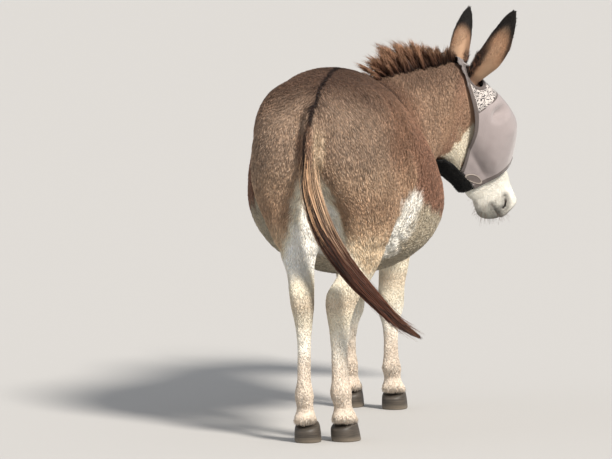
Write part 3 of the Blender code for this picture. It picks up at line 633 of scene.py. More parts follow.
def coatTint(points, normals):
    forward, right, up = bodyCoords(points)
    along, across, out = headCoords(points)
    wander = ripple(points, 0.05, 3) * 0.012 + ripple(points, 0.016, 4) * 0.004
    colour = np.tile(shades["brown"], (len(points), 1))

    def lay(shade, weight):
        w = np.clip(weight, 0, 1)[:, None]
        colour[:] = colour * (1 - w) + shades[shade] * w

    trunk = (1 - isHead(points))
    lay("warm", 0.7 * ease(0.95, 0.80, up) * ease(0.05, 0.2, np.abs(right)) * ease(0.30, 0.42, forward))
    # painted sheen: rear-facing surfaces of the hind end are tinted grey
    lay("greySheen", 0.75 * ease(0.26, 0.05, forward) * ease(0.66, 0.76, up))
    lay("rump", 0.95 * ease(0.90, 1.03, up + wander) * ease(0.0, 0.12, forward))
    lay("neck", ease(0.86, 0.98, forward) * ease(0.62, 0.72, up))
    lay("rump", 0.35 * ease(0.90, 1.0, forward) * ease(0.93, 1.0, up + wander))
    lay("rump", 0.55 * trunk * ease(0.90, 0.98, forward) * ease(0.15, 0.75, normals[:, 2] + 8 * wander)
        * ease(0.84, 0.90, up))
    hindward = ease(0.40, 0.36, forward)
    lay("tan", 0.55 * hindward * ease(0.84, 0.70, up + wander))
    lay("tan", hindward * ease(0.67, 0.60, up + 1.5 * wander))
    lay("sand", hindward * ease(0.62, 0.54, up + 1.5 * wander))
    lay("cream", hindward * ease(0.015, -0.01, np.abs(right) + wander - innerLine(up))
        * ease(0.78, 0.72, up))
    lay("white", hindward * ease(0.0, -0.03, np.abs(right) + wander - innerLine(up)) * ease(0.74, 0.66, up))
    lay("belly", trunk * ease(0.018, -0.018, up + wander - bellyLine(forward)) * ease(0.31, 0.36, forward))
    lay("white", 0.95 * trunk * ease(0.07, 0.03, strokeAway(points, [onBody(*spot) for spot in flankPatch])
                                     + wander))
    lay("tan", trunk * ease(0.80, 0.86, forward) * ease(0.66, 0.60, up + wander)
        * ease(0.05, 0.12, np.abs(right)))
    lay("cream", trunk * isLeg(points) * ease(0.52, 0.44, up + 1.5 * wander))
    lay("white", 0.6 * trunk * isLeg(points) * ease(0.60, 0.50, up + 1.5 * wander) * ease(0.36, 0.28, up))
    lay("pinkish", trunk * isLeg(points) * ease(0.30, 0.18, up + 2 * wander) * 0.7)
    lay("tan", trunk * isLeg(points) * 0.35 * ease(0.05, 0.0, np.abs(up - 0.40)))
    stripeAt = right - stripeLine(forward) + 0.15 * wander
    stripe = ease(0.0085, 0.0045, np.abs(stripeAt)) * ease(0.86, 0.90, up) * ease(-0.07, -0.06, forward)
    lay("rump", 0.55 * ease(0.040, 0.010, np.abs(stripeAt)) * ease(0.88, 0.94, up)
        * ease(-0.02, 0.02, forward))
    lay("stripe", stripe * ease(0.95, 0.90, forward))
    crossAt = np.abs(forward - 0.845 + 0.10 * np.abs(right))
    lay("stripe", 0.6 * ease(0.020, 0.008, crossAt + wander * 0.5) * ease(0.74, 0.84, up))
    away, share = nearTail(points)
    onTail = ease(0.05, 0.04, away) * ease(0.10, 0.16, share)
    lay("brown", onTail * 0.8)
    lay("sand", onTail * 0.55 * ease(0.004, 0.018, right - tailLines[1](share)))
    leftOf = right - tailLines[1](share) + 0.013
    lay("stripe", 0.95 * onTail * ease(0.0065, 0.003, np.abs(leftOf)) * ease(0.62, 0.5, share))
    # the head
    onHeadNow = isHead(points)
    lay("warm", onHeadNow * 0.8)
    lay("tan", onHeadNow * ease(0.05, 0.10, np.abs(across)) * 0.5)
    throat = ease(0.058, 0.026, strokeAway(points, [onHead(a, r, o) for a, r, o in
                  ((0.212, 0.078, -0.120), (0.236, 0.066, -0.150), (0.25, 0.05, -0.185),
                   (0.31, 0.02, -0.19))]) + 2 * wander)
    lay("sand", 0.8 * throat)
    lay("cream", ease(0.5, 0.95, throat))
    lay("muzzle", onHeadNow * ease(0.30, 0.345, along + wander))
    for hand in (-1, 1):
        eyeAt = np.array(boxMiddle("eye_left" if hand < 0 else "eye_right"))
        lay("eyeRing", onHeadNow * ease(0.045, 0.03, np.linalg.norm(points - eyeAt, axis=1)))
        # painted shade: the opening of the lids round the ball is darkened
        lay("hollowShade", onHeadNow * ease(1.45, 1.15, eyeSlit(points, hand)[0]))
    lay("chin", onHeadNow * ease(0.42, 0.47, along) * ease(-0.102, -0.122, out + wander) * 0.85)
    lay("lip", onHeadNow * ease(0.478, 0.520, along + wander) * 0.7)
    for name, axes, path, *_ in strokes:
        if name in ("nostril", "mouth"):
            for hand, line in strokeLines(axes, path):
                away = strokeAway(points, line)
                lay("lip", 0.6 * ease(0.022, 0.009, away) if name == "nostril" else 0.65
                    * ease(0.018, 0.006, away))
                # painted shade in the nostrils and along the mouth line
                lay("hollowShade", ease(0.0048, 0.0022, away) if name == "nostril" else 0.9
                    * ease(0.0050, 0.0022, away))
    for hand in (-1, 1):
        t, f, near, reach = earCoords(points, hand)
        outside = near * ease(0.86, 0.93, reach)
        lay("ear", near)
        lay("tan", near * 0.6 * ease(0.45, 0.1, t) * ease(-0.2, 0.4, hand * f))
        lay("earIn", near * (1 - outside))
        lay("earRim", near * ease(0.60, 0.85, np.abs(f)) * ease(0.30, 0.5, t) * 0.9)
        lay("earRim", near * ease(0.35, 0.75, -hand * f) * ease(0.35, 0.5, t) * 0.9)
        lay("earRim", near * (0.70 + 0.27 * hand) * ease(-0.08, 0.22, -hand * f)
            * ease(0.55, 0.30, t + 0.5 * wander + 0.2 * hand * f))
        dark = 0.56 + 0.05 * hand
        lay("earTip", near * ease(dark, dark + 0.22, t + wander + 0.10 * f * f - 0.04 * hand * f))
        lay("tan", near * outside * 0.30 * ease(0.10, 0.35, t) * ease(0.70, 0.50, t)
            * ease(0.45, 0.15, np.abs(f - 0.15 * hand)))
        lay("eyeRing", near * outside * ease(0.72, 0.85, hand * f) * ease(0.30, 0.18, t)
            * ease(0.0, 0.05, t))
        lay("brown", near * ease(0.12, 0.02, t) * 0.6)
    mottle = 1 + 0.08 * ripple(points, 0.07, 11) + 0.05 * ripple(points, 0.025, 12)
    return colour * mottle[:, None]


# which way the hair lies

def coatFlow(points, normals):
    forward, right, up = bodyCoords(points)
    along, across, _ = headCoords(points)
    back, down = np.array([0.0, 1.0, 0.0]), np.array([0.0, 0.0, -1.0])
    flow = back * (0.12 + 0.75 * ease(0.12, 0.5, forward))[:, None] + down * np.ones(len(points))[:, None]
    sideways = np.array([-1.0, 0.0, 0.0]) * np.sign(right)[:, None]
    flow += sideways * (0.25 * ease(0.25, 0.05, forward))[:, None]
    neckward = (ease(0.90, 1.02, forward) * ease(0.60, 0.72, up))[:, None]
    flow = flow * (1 - neckward) + (np.array([0.25, 0.37, -0.31]) + 0.75 * down) * neckward
    legward = isLeg(points)[:, None]
    flow = flow * (1 - legward) + (down + 0.12 * back) * legward
    headward = isHead(points)[:, None]
    cheeks = ease(0.02, 0.07, np.abs(across))[:, None] * ease(0.34, 0.26, along)[:, None]
    headFlow = np.array(nose) * (1 - 0.35 * cheeks) - np.array(brow) * (0.9 * cheeks)
    flow = flow * (1 - headward) + headFlow * headward
    away, share = nearTail(points)
    tailWay = tailPoints(np.minimum(share + 0.02, 1)) - tailPoints(np.maximum(share - 0.02, 0))
    tailWay /= np.linalg.norm(tailWay, axis=1)[:, None]
    tailward = (ease(0.05, 0.035, away) * ease(0.04, 0.12, share))[:, None]
    flow = flow * (1 - tailward) + tailWay * tailward
    for hand in (-1, 1):
        near = earCoords(points, hand)[2]
        flow = np.where(near[:, None], np.array(earFrame(hand)[1]), flow)
    sway = ripple(points, 0.12, 21)[:, None] * np.cross(normals, flow) * 0.14
    flow = flow + sway
    flow -= normals * np.sum(flow * normals, axis=1)[:, None]
    return flow / np.maximum(np.linalg.norm(flow, axis=1), 1e-6)[:, None]


# the hide's unwrap, colours and finish

def unwrapHide(skin):
    bpy.ops.object.select_all(action="DESELECT")
    skin.select_set(True)
    bpy.context.view_layer.objects.active = skin
    layer = skin.data.uv_layers.new(name="OFBake")
    skin.data.uv_layers.active = layer
    bpy.ops.object.mode_set(mode="EDIT")
    bpy.ops.mesh.select_all(action="SELECT")
    bpy.ops.uv.smart_project(angle_limit=math.radians(72), island_margin=0.003)
    bpy.ops.object.mode_set(mode="OBJECT")
    skin.select_set(False)


unwrapHide(skin)
print("hide unwrapped")


def hideMaterial():
    # short-haired skin: dull, faintly glossy where the hair lies flat
    material, tree, shader = newMaterial("short_haired_hide", 0.72, 1.45, Specular_IOR_Level=0.25)
    tint = addNode(tree, "Attribute", attribute_name="tint")
    places = addNode(tree, "TexCoord")
    speck = addNode(tree, "TexNoise", {"Vector": places.outputs["Object"], "Scale": 420.0, "Detail": 3.0})
    shade = addNode(tree, "MapRange", {"Value": speck.outputs["Fac"], "To Min": 0.72, "To Max": 1.12})
    colour = addNode(tree, "VectorMath", {0: tint.outputs["Color"], 1: shade.outputs["Result"]},
                     operation="MULTIPLY")
    tree.links.new(colour.outputs["Vector"], shader.inputs["Base Color"])
    bump = addNode(tree, "Bump", {"Height": speck.outputs["Fac"], "Strength": 0.35, "Distance": 0.0008})
    tree.links.new(bump.outputs["Normal"], shader.inputs["Normal"])
    return material


def hairMaterial(name, roughness, sheen):
    # hair: its colour lies in the strands, with a soft sheen along them
    material, tree, shader = newMaterial(name, roughness, 1.55, Specular_IOR_Level=0.22)
    shader.inputs["Sheen Weight"].default_value = sheen
    shader.inputs["Sheen Roughness"].default_value = 0.4
    tint = addNode(tree, "Attribute", attribute_name="tint")
    tree.links.new(tint.outputs["Color"], shader.inputs["Base Color"])
    return material


hidePlaces, hideNormals = vertexPlaces(skin.data), vertexNormals(skin.data)
setTint(skin.data, coatTint(hidePlaces, hideNormals))
finishPiece(skin, hideMaterial())
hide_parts("head", "neck", "trunk", "tail", "fore_leg_left", "fore_leg_right", "hind_leg_left",
            "hind_leg_right",
            "ear_left", "ear_right")
print("hide coloured")


# locks of hair: one three-sided lock, repeated along lines

def lockShape(rings, widths):
    # across, thickness and share along, for a closed lock that ends in a point
    bm = bmesh.new()
    bmesh.ops.create_cone(bm, cap_ends=True, cap_tris=True, segments=3, radius1=1.0, radius2=0.0, depth=1.0)
    doubles = list(bm.verts)
    bmesh.ops.remove_doubles(bm, verts=doubles, dist=1e-5)
    bmesh.ops.translate(bm, verts=bm.verts, vec=(0, 0, 0.5))
    for share in rings:
        bmesh.ops.bisect_plane(bm, geom=bm.verts[:] + bm.edges[:] + bm.faces[:], plane_co=(0, 0, share),
                               plane_no=(0, 0, 1))
    bmesh.ops.triangulate(bm, faces=bm.faces)
    for v in bm.verts:
        if v.co.z < 0.999:
            size = widths(v.co.z) / (1 - v.co.z)
            v.co.x *= size
            v.co.y *= size
    bmesh.ops.recalc_face_normals(bm, faces=bm.faces)
    shape = np.array([v.co for v in bm.verts])
    faces = np.array([[v.index for v in f.verts] for f in bm.faces])
    bm.free()
    return shape, faces


def makeLocks(name, places, tints, roots, shape, faces, material, smooth=True):
    # places: locks x points x 3, tints the same, roots: each lock's place on the unwrap
    count, each = places.shape[:2]
    mesh = bpy.data.meshes.new(name)
    mesh.vertices.add(count * each)
    mesh.vertices.foreach_set("co", places.astype(np.float32).ravel())
    corners = (faces[None] + (np.arange(count) * each)[:, None, None]).astype(np.int32)
    mesh.loops.add(corners.size)
    mesh.loops.foreach_set("vertex_index", corners.ravel())
    mesh.polygons.add(count * len(faces))
    mesh.polygons.foreach_set("loop_start", np.arange(count * len(faces), dtype=np.int32) * 3)
    mesh.update(calc_edges=True)
    setTint(mesh, np.clip(tints, 0, 1).reshape(-1, 3))
    spread = np.stack([0.4 * shape[:, 0], shape[:, 2] - 0.5], axis=1)[faces] * 0.003
    layer = mesh.uv_layers.new(name="OFBake")
    layer.uv.foreach_set("vector", (roots[:, None, None, :] + spread[None]).astype(np.float32).ravel())
    obj = bpy.data.objects.new(name, mesh)
    bpy.context.scene.collection.objects.link(obj)
    finishPiece(obj, material, smooth=smooth)
    return obj


def scatter(mesh, count, seed, density, unwrap="OFBake"):
    # places spread evenly over the mesh, with normals and their place on the unwrap
    rng = np.random.default_rng(seed)
    mesh.calc_loop_triangles()
    corners = np.empty(len(mesh.loop_triangles) * 3, np.int32)
    mesh.loop_triangles.foreach_get("vertices", corners)
    loops = np.empty(len(mesh.loop_triangles) * 3, np.int32)
    mesh.loop_triangles.foreach_get("loops", loops)
    flat = np.empty(len(mesh.loops) * 2, np.float32)
    mesh.uv_layers[unwrap].uv.foreach_get("vector", flat)
    corners, loops, flat = corners.reshape(-1, 3), loops.reshape(-1, 3), flat.reshape(-1, 2)
    places, normals = vertexPlaces(mesh), vertexNormals(mesh)
    a, b, c = (places[corners[:, i]] for i in range(3))
    area = np.linalg.norm(np.cross(b - a, c - a), axis=1)
    heap = np.cumsum(area * density((a + b + c) / 3))
    picks = np.searchsorted(heap, (np.arange(count) + rng.random(count)) / count * heap[-1])
    picks = np.minimum(picks, len(heap) - 1)
    first, second = np.sqrt(rng.random(count)), rng.random(count)
    share = np.stack([1 - first, first * (1 - second), first * second], axis=1)
    where = np.einsum("ij,ijk->ik", share, places[corners[picks]])
    normal = np.einsum("ij,ijk->ik", share, normals[corners[picks]])
    normal /= np.linalg.norm(normal, axis=1)[:, None]
    root = np.einsum("ij,ijk->ik", share, flat[loops[picks]])
    return where, normal, root


# the coat: overlapping tufts that lie along the body

coat = {"count": 196000, "seed": 5, "pieceLimit": 31000, "perClump": 4, "gather": 0.30, "tone": 0.24,
        "clumpTone": 0.11}


def tuftShape(middle=0.4):
    # a lock with a root point, a three-cornered middle and a tip
    bm = bmesh.new()
    bmesh.ops.create_cone(bm, cap_ends=True, cap_tris=False, segments=3, radius1=1.0, radius2=0.0,
                          depth=1.0)
    bmesh.ops.remove_doubles(bm, verts=bm.verts[:], dist=1e-5)
    base = [f for f in bm.faces if len(f.verts) == 3 and all(v.co.z < 0 for v in f.verts)]
    bmesh.ops.poke(bm, faces=base)
    for v in bm.verts:
        radius = math.hypot(v.co.x, v.co.y)
        if radius > 0.5:
            v.co.z = middle
        else:
            v.co.z = 1.0 if v.co.z > 0 else 0.0
    bmesh.ops.recalc_face_normals(bm, faces=bm.faces)
    shape = np.array([v.co for v in bm.verts])
    faces = np.array([[v.index for v in f.verts] for f in bm.faces])
    bm.free()
    return shape, faces


def gatherClumps(places, perClump, rng):
    # each tuft's nearest clump, with every so many tufts taken as a clump's middle
    middles = rng.permutation(len(places))[:len(places) // perClump]
    tree = KDTree(len(middles))
    for i, m in enumerate(middles):
        tree.insert(places[m], i)
    tree.balance()
    nearest = np.array([tree.find(place)[1] for place in places])
    return nearest, places[middles[nearest]]


def earNear(points):
    return np.maximum(earCoords(points, -1)[2], earCoords(points, 1)[2]).astype(float)


def coatLength(points):
    along = headCoords(points)[0]
    onTheHead, onALeg, onAnEar = isHead(points), isLeg(points), earNear(points)
    length = 0.017 * (1 - onALeg) + (0.011 + 0.007 * ease(0.09, 0.07, points[:, 2])) * onALeg
    length = length * (1 - onTheHead) + onTheHead * (0.009 - 0.0045 * ease(0.30, 0.42, along))
    length = length * (1 - onAnEar) + 0.0075 * onAnEar
    return length * (1 - 0.45 * underMask(points))


def coatDensity(points):
    along = headCoords(points)[0]
    onTheHead, onALeg, onAnEar = isHead(points), isLeg(points), earNear(points)
    amount = 1 + (0.8 + 1.8 * ease(0.09, 0.07, points[:, 2])) * onALeg
    amount = amount * (1 - onTheHead) + onTheHead * (2.4 + 2.6 * ease(0.30, 0.42, along))
    amount = amount * (1 - onAnEar) + 2.8 * onAnEar
    amount *= 1 - 0.85 * underMask(points)
    for hand in (-1, 1):
        amount = amount * ease(1.1, 1.3, eyeSlit(points, hand)[0])
    return amount * ease(0.012, 0.03, points[:, 2])


def makeCoat():
    rng = np.random.default_rng(coat["seed"])
    places, normals, roots = scatter(skin.data, coat["count"], coat["seed"], coatDensity)
    shape, faces = tuftShape()
    clump, clumpAt = gatherClumps(places, coat["perClump"], rng)
    clumpCount = clump.max() + 1
    tint = coatTint(places, normals)
    flow = coatFlow(places, normals)
    turn = 0.14 * rng.normal(size=len(places)) + 0.10 * ripple(places, 0.035, 31)
    turn = turn + 0.12 * rng.normal(size=clumpCount)[clump]
    flow = flow * np.cos(turn)[:, None] + np.cross(normals, flow) * np.sin(turn)[:, None]
    across = np.cross(flow, normals)
    length = coatLength(places) * rng.uniform(0.75, 1.2, len(places))
    wide = (0.0002 + 0.062 * length) * rng.uniform(0.8, 1.3, len(places))
    high = np.minimum(coatDepth(places) * rng.uniform(0.35, 0.95, len(places))
                      * rng.uniform(0.6, 1.0, clumpCount)[clump],
                      0.24 * length) * (1 - 0.5 * isLeg(places))
    share = shape[:, 2]
    rise = np.interp(share, [0, 0.4, 1], [-0.15, 0.72, 1.0])
    curl = rng.normal(size=len(places)) * 0.10 * length
    inward = np.sum((clumpAt - places) * across, axis=1)
    curl += coat["gather"] * np.clip(inward, -0.3 * length, 0.3 * length)
    along = flow[:, None] * (length[:, None] * share)[..., None]
    sideways = across[:, None] * (wide[:, None] * shape[:, 0] + curl[:, None] * share ** 2)[..., None]
    upwards = normals[:, None] * (high[:, None] * rise + 0.35 * wide[:, None] * shape[:, 1])[..., None]
    points = places[:, None] + along + sideways + upwards
    paleness = np.clip((tint.mean(axis=1) - 0.25) / 0.35, 0, 1)
    plain = (1 - 0.5 * isHead(places) - 0.4 * isLeg(places)) * (1 - 0.55 * paleness)
    tone = rng.normal(0.0, coat["tone"],
                      len(places)) + coat["clumpTone"] * rng.normal(size=clumpCount)[clump]
    ramp = np.interp(share, [0, 0.4, 1], [-0.40, 0.0, 0.22])[None] * (1 - 0.6 * paleness)[:, None]
    tone = np.clip(1 + tone * plain, 0.45, 1.6)[:, None] * (1 + ramp)
    warmth = rng.normal(0.0, 0.03, len(places))[:, None]
    tints = tint[:, None] * tone[..., None] * (1 + warmth * np.array([1.0, 0.0, -1.0]))[:, None]
    forward, right, up = bodyCoords(places)
    onTheHead, onALeg, onAnEar = isHead(places), isLeg(places), earNear(places)
    away, tailShare = nearTail(places)
    groups = np.full(len(places), "flank", dtype="<U12")
    groups[forward < 0.36] = "rump"
    groups[forward > 0.68] = "shoulder"
    groups[(forward > 0.90) & (up > 0.62)] = "neck"
    groups[(onALeg > 0.5) & (forward < 0.5)] = "hind_legs"
    groups[(onALeg > 0.5) & (forward > 0.5)] = "fore_legs"
    groups[(away < 0.035) & (tailShare > 0.1)] = "dock"
    groups[onTheHead > 0.5] = "face"
    groups[onAnEar > 0.5] = "ears"
    sideName = np.where(right > np.where(forward > 0.9, 0.06, 0.0), "_right", "_left")
    material = hairMaterial("short_coat_hair", 0.66, 0.03)
    for group in sorted(set(groups)):
        for hand in ("_left", "_right"):
            chosen = np.flatnonzero((groups == group) & (sideName == hand))
            parts = max(1, math.ceil(len(chosen) / coat["pieceLimit"]))
            fromBelow = chosen[np.argsort(up[chosen], kind="stable")]
            for number, some in enumerate(np.array_split(fromBelow, parts)):
                if not len(some):
                    continue
                name = "coat_" + group + hand + (f"_{number + 1}" if parts > 1 else "")
                makeLocks(name, points[some], tints[some], roots[some], shape, faces, material,
                          smooth=False)
                print(name, len(some), "tufts")


makeCoat()


# long hair that follows lines: the mane and the tail

def alongLines(lines, widths, shape, flatness, facing):
    # lines: locks x rings x 3 at the shares of shape's rings; facing: each lock's flat side
    shares = np.unique(np.round(shape[:, 2], 6))
    ring = np.searchsorted(shares, np.round(shape[:, 2], 6))
    ways = np.gradient(lines, axis=1)
    ways /= np.maximum(np.linalg.norm(ways, axis=2, keepdims=True), 1e-9)
    normal = facing[:, None] - ways * np.sum(facing[:, None] * ways, axis=2, keepdims=True)
    normal /= np.maximum(np.linalg.norm(normal, axis=2, keepdims=True), 1e-9)
    across = np.cross(ways, normal)
    points = lines[:, ring] + across[:, ring] * (widths[:, None] * shape[:, 0])[..., None]
    return points + normal[:, ring] * (widths[:, None] * flatness * shape[:, 1])[..., None], ring


longHair = {"maneLocks": 4600, "tailLocks": 2300, "seed": 8, "maneClumps": 76,
            "maneTall": {-0.12: 0.020, -0.02: 0.040, 0.03: 0.070, 0.10: 0.090, 0.2: 0.102, 0.4: 0.106,
                         0.65: 0.112, 0.85: 0.102, 0.95: 0.082, 1.05: 0.060,
                         1.16: 0.045},
            "maneWide": {-0.12: 0.008, 0: 0.014, 0.2: 0.021, 0.8: 0.019, 0.95: 0.016, 1.05: 0.018,
                         1.16: 0.022},
            "maneLean": {-0.12: 0.75, 0.1: 0.50, 0.4: 0.30, 0.8: 0.20, 1.12: 0.05}}
hairShades = {name: np.array(hexColour(code)[:3]) for name, code in {
    "maneRoot": "1f130e", "maneMiddle": "73513f", "maneTip": "a27d62", "black": "15100e", "tailTop": "d0a782",
    "tailEdge": "e7c4a1", "tailLow": "543021", "tailTip": "6d4d3a"}.items()}


def hideTree():
    bm = bmesh.new()
    bm.from_mesh(skin.data)
    tree = BVHTree.FromBMesh(bm)
    bm.free()
    return tree


def makeMane(tree):
    # the mane stands in clumps, whose locks draw together towards a ragged tip
    rng = np.random.default_rng(longHair["seed"])
    tall, wide, leans = (curveThrough(longHair[key]) for key in ("maneTall", "maneWide", "maneLean"))
    shape, faces = lockShape([0.2, 0.4, 0.6, 0.8], curveThrough({0.0: 0.8, 0.3: 1.0, 0.8: 0.7, 1.0: 0.0}))
    shares = np.unique(np.round(shape[:, 2], 6))
    ramp = [hairShades["maneRoot"], hairShades["maneMiddle"], hairShades["maneTip"]]
    levels = np.stack([np.interp(shape[:, 2], [0.1, 0.55, 1.0], [c[i] for c in ramp]) for i in range(3)],
                      axis=1)
    count = longHair["maneClumps"]
    clumps = []
    for n in range(count):
        t = -0.02 + 1.18 * (n + rng.uniform(0.1, 0.9)) / count
        out = rng.normal(0, 0.45)
        clumps.append((t, out, rng.uniform(0.70, 1.16), rng.normal(0, 0.15), rng.normal(0, 0.18),
                       rng.normal(1, 0.16)))
    lines, facing, tints, widths = [], [], [], []
    for _ in range(longHair["maneLocks"]):
        clumpAt, clumpOut, clumpTall, clumpLean, clumpTilt, clumpTone = clumps[rng.integers(count)]
        t = clumpAt + rng.normal(0, 0.014)
        out = np.clip(clumpOut + rng.normal(0, 0.35), -1.2, 1.2)
        centre, way, across, up = neckFrame(0.24 + 0.77 * t)
        hit = tree.ray_cast(centre + across * (out * wide(t)), up)[0]
        if hit is None:
            continue
        height = tall(t) * clumpTall * rng.uniform(0.72, 1.08) * (1 - 0.22 * min(out * out, 1)) + 0.006
        lean = leans(t) + clumpLean + rng.normal(0, 0.05)
        tilt = clumpTilt + rng.normal(0, 0.06) + 0.10 * out
        gatherAlong = way * ((clumpAt - t) * 0.30)
        gatherAcross = across * ((clumpOut - out) * wide(t) * 0.8)
        path = []
        for s in shares:
            p = hit - up * 0.004 + up * (height * s * (1 - 0.12 * s)) - way * (lean * height * s ** 1.5)
            path.append(p + across * (tilt * height * s ** 1.4) + (gatherAlong + gatherAcross) * s ** 1.2)
        lines.append(path)
        facing.append(across * math.cos(rng.uniform(0, 3)) + way * math.sin(rng.uniform(0, 3)))
        widths.append(rng.uniform(0.0005, 0.0010))
        dark = rng.random() < 0.16 + 0.7 * float(ease(0.85, 1.0, t))
        tints.append(levels * rng.normal(1, 0.18) * clumpTone * (0.32 if dark else 1.0))
    points = alongLines(np.array(lines), np.array(widths), shape, 0.6, np.array(facing))[0]
    roots = np.random.default_rng(1).random((len(points), 2)) * 0.9 + 0.05
    obj = makeLocks("mane_hair", points, np.array(tints), roots, shape, faces,
                    hairMaterial("coarse_mane_hair", 0.55, 0.03))
    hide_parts("mane")
    print("mane", len(points), "locks")


def tailFrame(t):
    here = tailPoints(t)
    way = tailPoints(np.minimum(t + 0.01, 1)) - tailPoints(np.maximum(t - 0.01, 0))
    way /= np.linalg.norm(way, axis=-1, keepdims=True)
    across = np.cross(way, np.array([0.0, 1.0, 0.2]))
    across /= np.linalg.norm(across, axis=-1, keepdims=True)
    return here, way, across, np.cross(way, across)


tailDrift = curveThrough({0.25: 0.0, 0.42: 0.006, 0.6: 0.010, 0.85: 0.012, 1.0: 0.018})


def makeTail():
    rng = np.random.default_rng(longHair["seed"] + 1)
    rings = [0.09, 0.18, 0.28, 0.38, 0.49, 0.6, 0.71, 0.82, 0.92]
    shape, faces = lockShape(rings, curveThrough({0.0: 0.5, 0.3: 1.0, 0.8: 0.8, 1.0: 0.0}))
    shares = np.unique(np.round(shape[:, 2], 6))
    count = longHair["tailLocks"]
    start = 0.20 + 0.55 * rng.random(count) ** 0.9
    end = np.minimum(start + rng.uniform(0.32, 0.55, count), rng.uniform(0.86, 1.0, count))
    angle = rng.uniform(0, 2 * math.pi, count)
    depth = np.sqrt(rng.uniform(0.35, 1.0, count))
    t = start[:, None] + (end - start)[:, None] * shares[None]
    here, _, across, other = tailFrame(t)
    taper = np.interp(shares, [0, 0.12, 0.6, 1.0], [0.7, 1.0, 0.98, 0.8])[None]
    radius = tailLines[3](t) * (1 + 0.2 * ease(0.62, 0.42, t)) * depth[:, None] * taper
    wave = 0.0016 * np.sin(shares[None] * rng.uniform(4, 9, count)[:, None] + angle[:, None])
    spin = angle[:, None] + 0.5 * shares[None] * rng.normal(0, 0.5, count)[:, None]
    stray = (rng.random(count) < 0.04)[:, None] * 0.016 * shares[None] ** 3
    here = here - np.array([1.0, 0.0, 0.0]) * tailDrift(t)[..., None]
    outwards = across * np.cos(spin)[..., None] + other * np.sin(spin)[..., None]
    lines = here + outwards * (radius + wave + stray)[..., None]
    facing = across[:, 5] * np.cos(angle)[:, None] + other[:, 5] * np.sin(angle)[:, None]
    points, ring = alongLines(lines, rng.uniform(0.0005, 0.0010, count), shape, 0.5, facing)
    where = t[:, ring]
    low = ease(0.34, 0.54, where + 0.06 * rng.normal(size=count)[:, None])[..., None]
    shift = np.sum(lines[:, 5] - here[:, 5], axis=1, where=[True, False, False]) / -0.02
    toRight = ease(-0.2, 0.9, shift)[:, None, None]
    top = hairShades["tailTop"] * (1 - toRight) + hairShades["tailEdge"] * toRight
    tints = top * (1 - low) + hairShades["tailLow"] * low
    tip = 0.7 * ease(0.78, 1.0, where)[..., None]
    tints = tints * (1 - tip) + hairShades["tailTip"] * tip
    dark = np.interp(shape[:, 2], [0, 0.5, 1], [0.8, 1.0, 1.05])[None, :, None]
    black = (rng.random(count) < 0.17 + 0.30 * (toRight[:, 0, 0] < 0.12))[:, None, None]
    varied = rng.normal(1, 0.20, count)[:, None, None]
    tints = np.where(black, hairShades["black"] * 1.6, tints) * dark * varied
    roots = np.random.default_rng(2).random((count, 2)) * 0.9 + 0.05
    obj = makeLocks("tail_hair", points, tints, roots, shape, faces,
                    hairMaterial("coarse_tail_hair", 0.5, 0.03))
    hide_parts("tail_switch")
    print("tail", count, "locks")


def makeEarFringe():
    # longer pale hair along the rims of the ears, lying over the opening
    rng = np.random.default_rng(longHair["seed"] + 2)
    shape, faces = lockShape([0.5], curveThrough({0.0: 1.0, 0.5: 0.8, 1.0: 0.0}))
    shares = np.unique(np.round(shape[:, 2], 6))
    for hand, name in ((-1, "left"), (1, "right")):
        _, axis, across, openWay = earFrame(hand)
        lines, facing, tints = [], [], []
        for _ in range(520):
            t, f = rng.uniform(0.03, 0.86), rng.choice([-1, 1]) * rng.uniform(0.86, 0.99)
            root = earPoint(hand, t, f, 0.5)
            inward = -across * math.copysign(1.0, f) * rng.uniform(0.2, 0.9)
            inward = inward + openWay * rng.uniform(-0.1, 0.5)
            way = (axis * rng.uniform(0.7, 1.2) + inward).normalized()
            long = rng.uniform(0.008, 0.018) * (1 - 0.5 * t)
            lines.append([root + way * (long * s) - inward * (0.2 * long * s * s) for s in shares])
            facing.append(openWay)
            darkness = float(ease(0.5, 0.8, t))
            shade = hairShades["tailEdge"] * (1 - darkness) + hairShades["black"] * darkness
            tints.append(np.tile(shade * rng.normal(1.05, 0.12), (len(shape), 1)))
        for _ in range(900 if hand > 0 else 420):
            t, f = rng.uniform(-0.05, 0.30), -hand * rng.uniform(0.0, 1.0) ** 0.7
            angle = math.radians(f * float(earLines["wrap"](max(t, 0.0))))
            outward = across * math.sin(angle) - openWay * math.cos(angle)
            way = (axis * rng.uniform(0.8, 1.1) + outward * rng.uniform(0.1, 0.5) - across
                   * (hand * rng.uniform(0.0, 0.8))).normalized()
            long = rng.uniform(0.016, 0.032) * (1 - 1.2 * max(t, 0.0)) + 0.014 * float(ease(0.08, 0.0, t))
            lines.append([earPoint(hand, t, f, 0.0) + way * (long * s) - outward * (0.25 * long * s * s)
                          for s in shares])
            facing.append(outward)
            shade = hairShades["black"] if rng.random() < 0.7 else hairShades["maneMiddle"]
            tints.append(np.tile(shade * rng.uniform(0.8, 1.6), (len(shape), 1)))
        points = alongLines(np.array(lines), np.full(len(lines), 0.00055), shape, 0.6, np.array(facing))[0]
        roots = np.random.default_rng(3).random((len(points), 2)) * 0.9 + 0.05
        makeLocks("ear_fringe_" + name, points, np.array(tints), roots, shape, faces,
                  bpy.data.materials["coarse_tail_hair"])


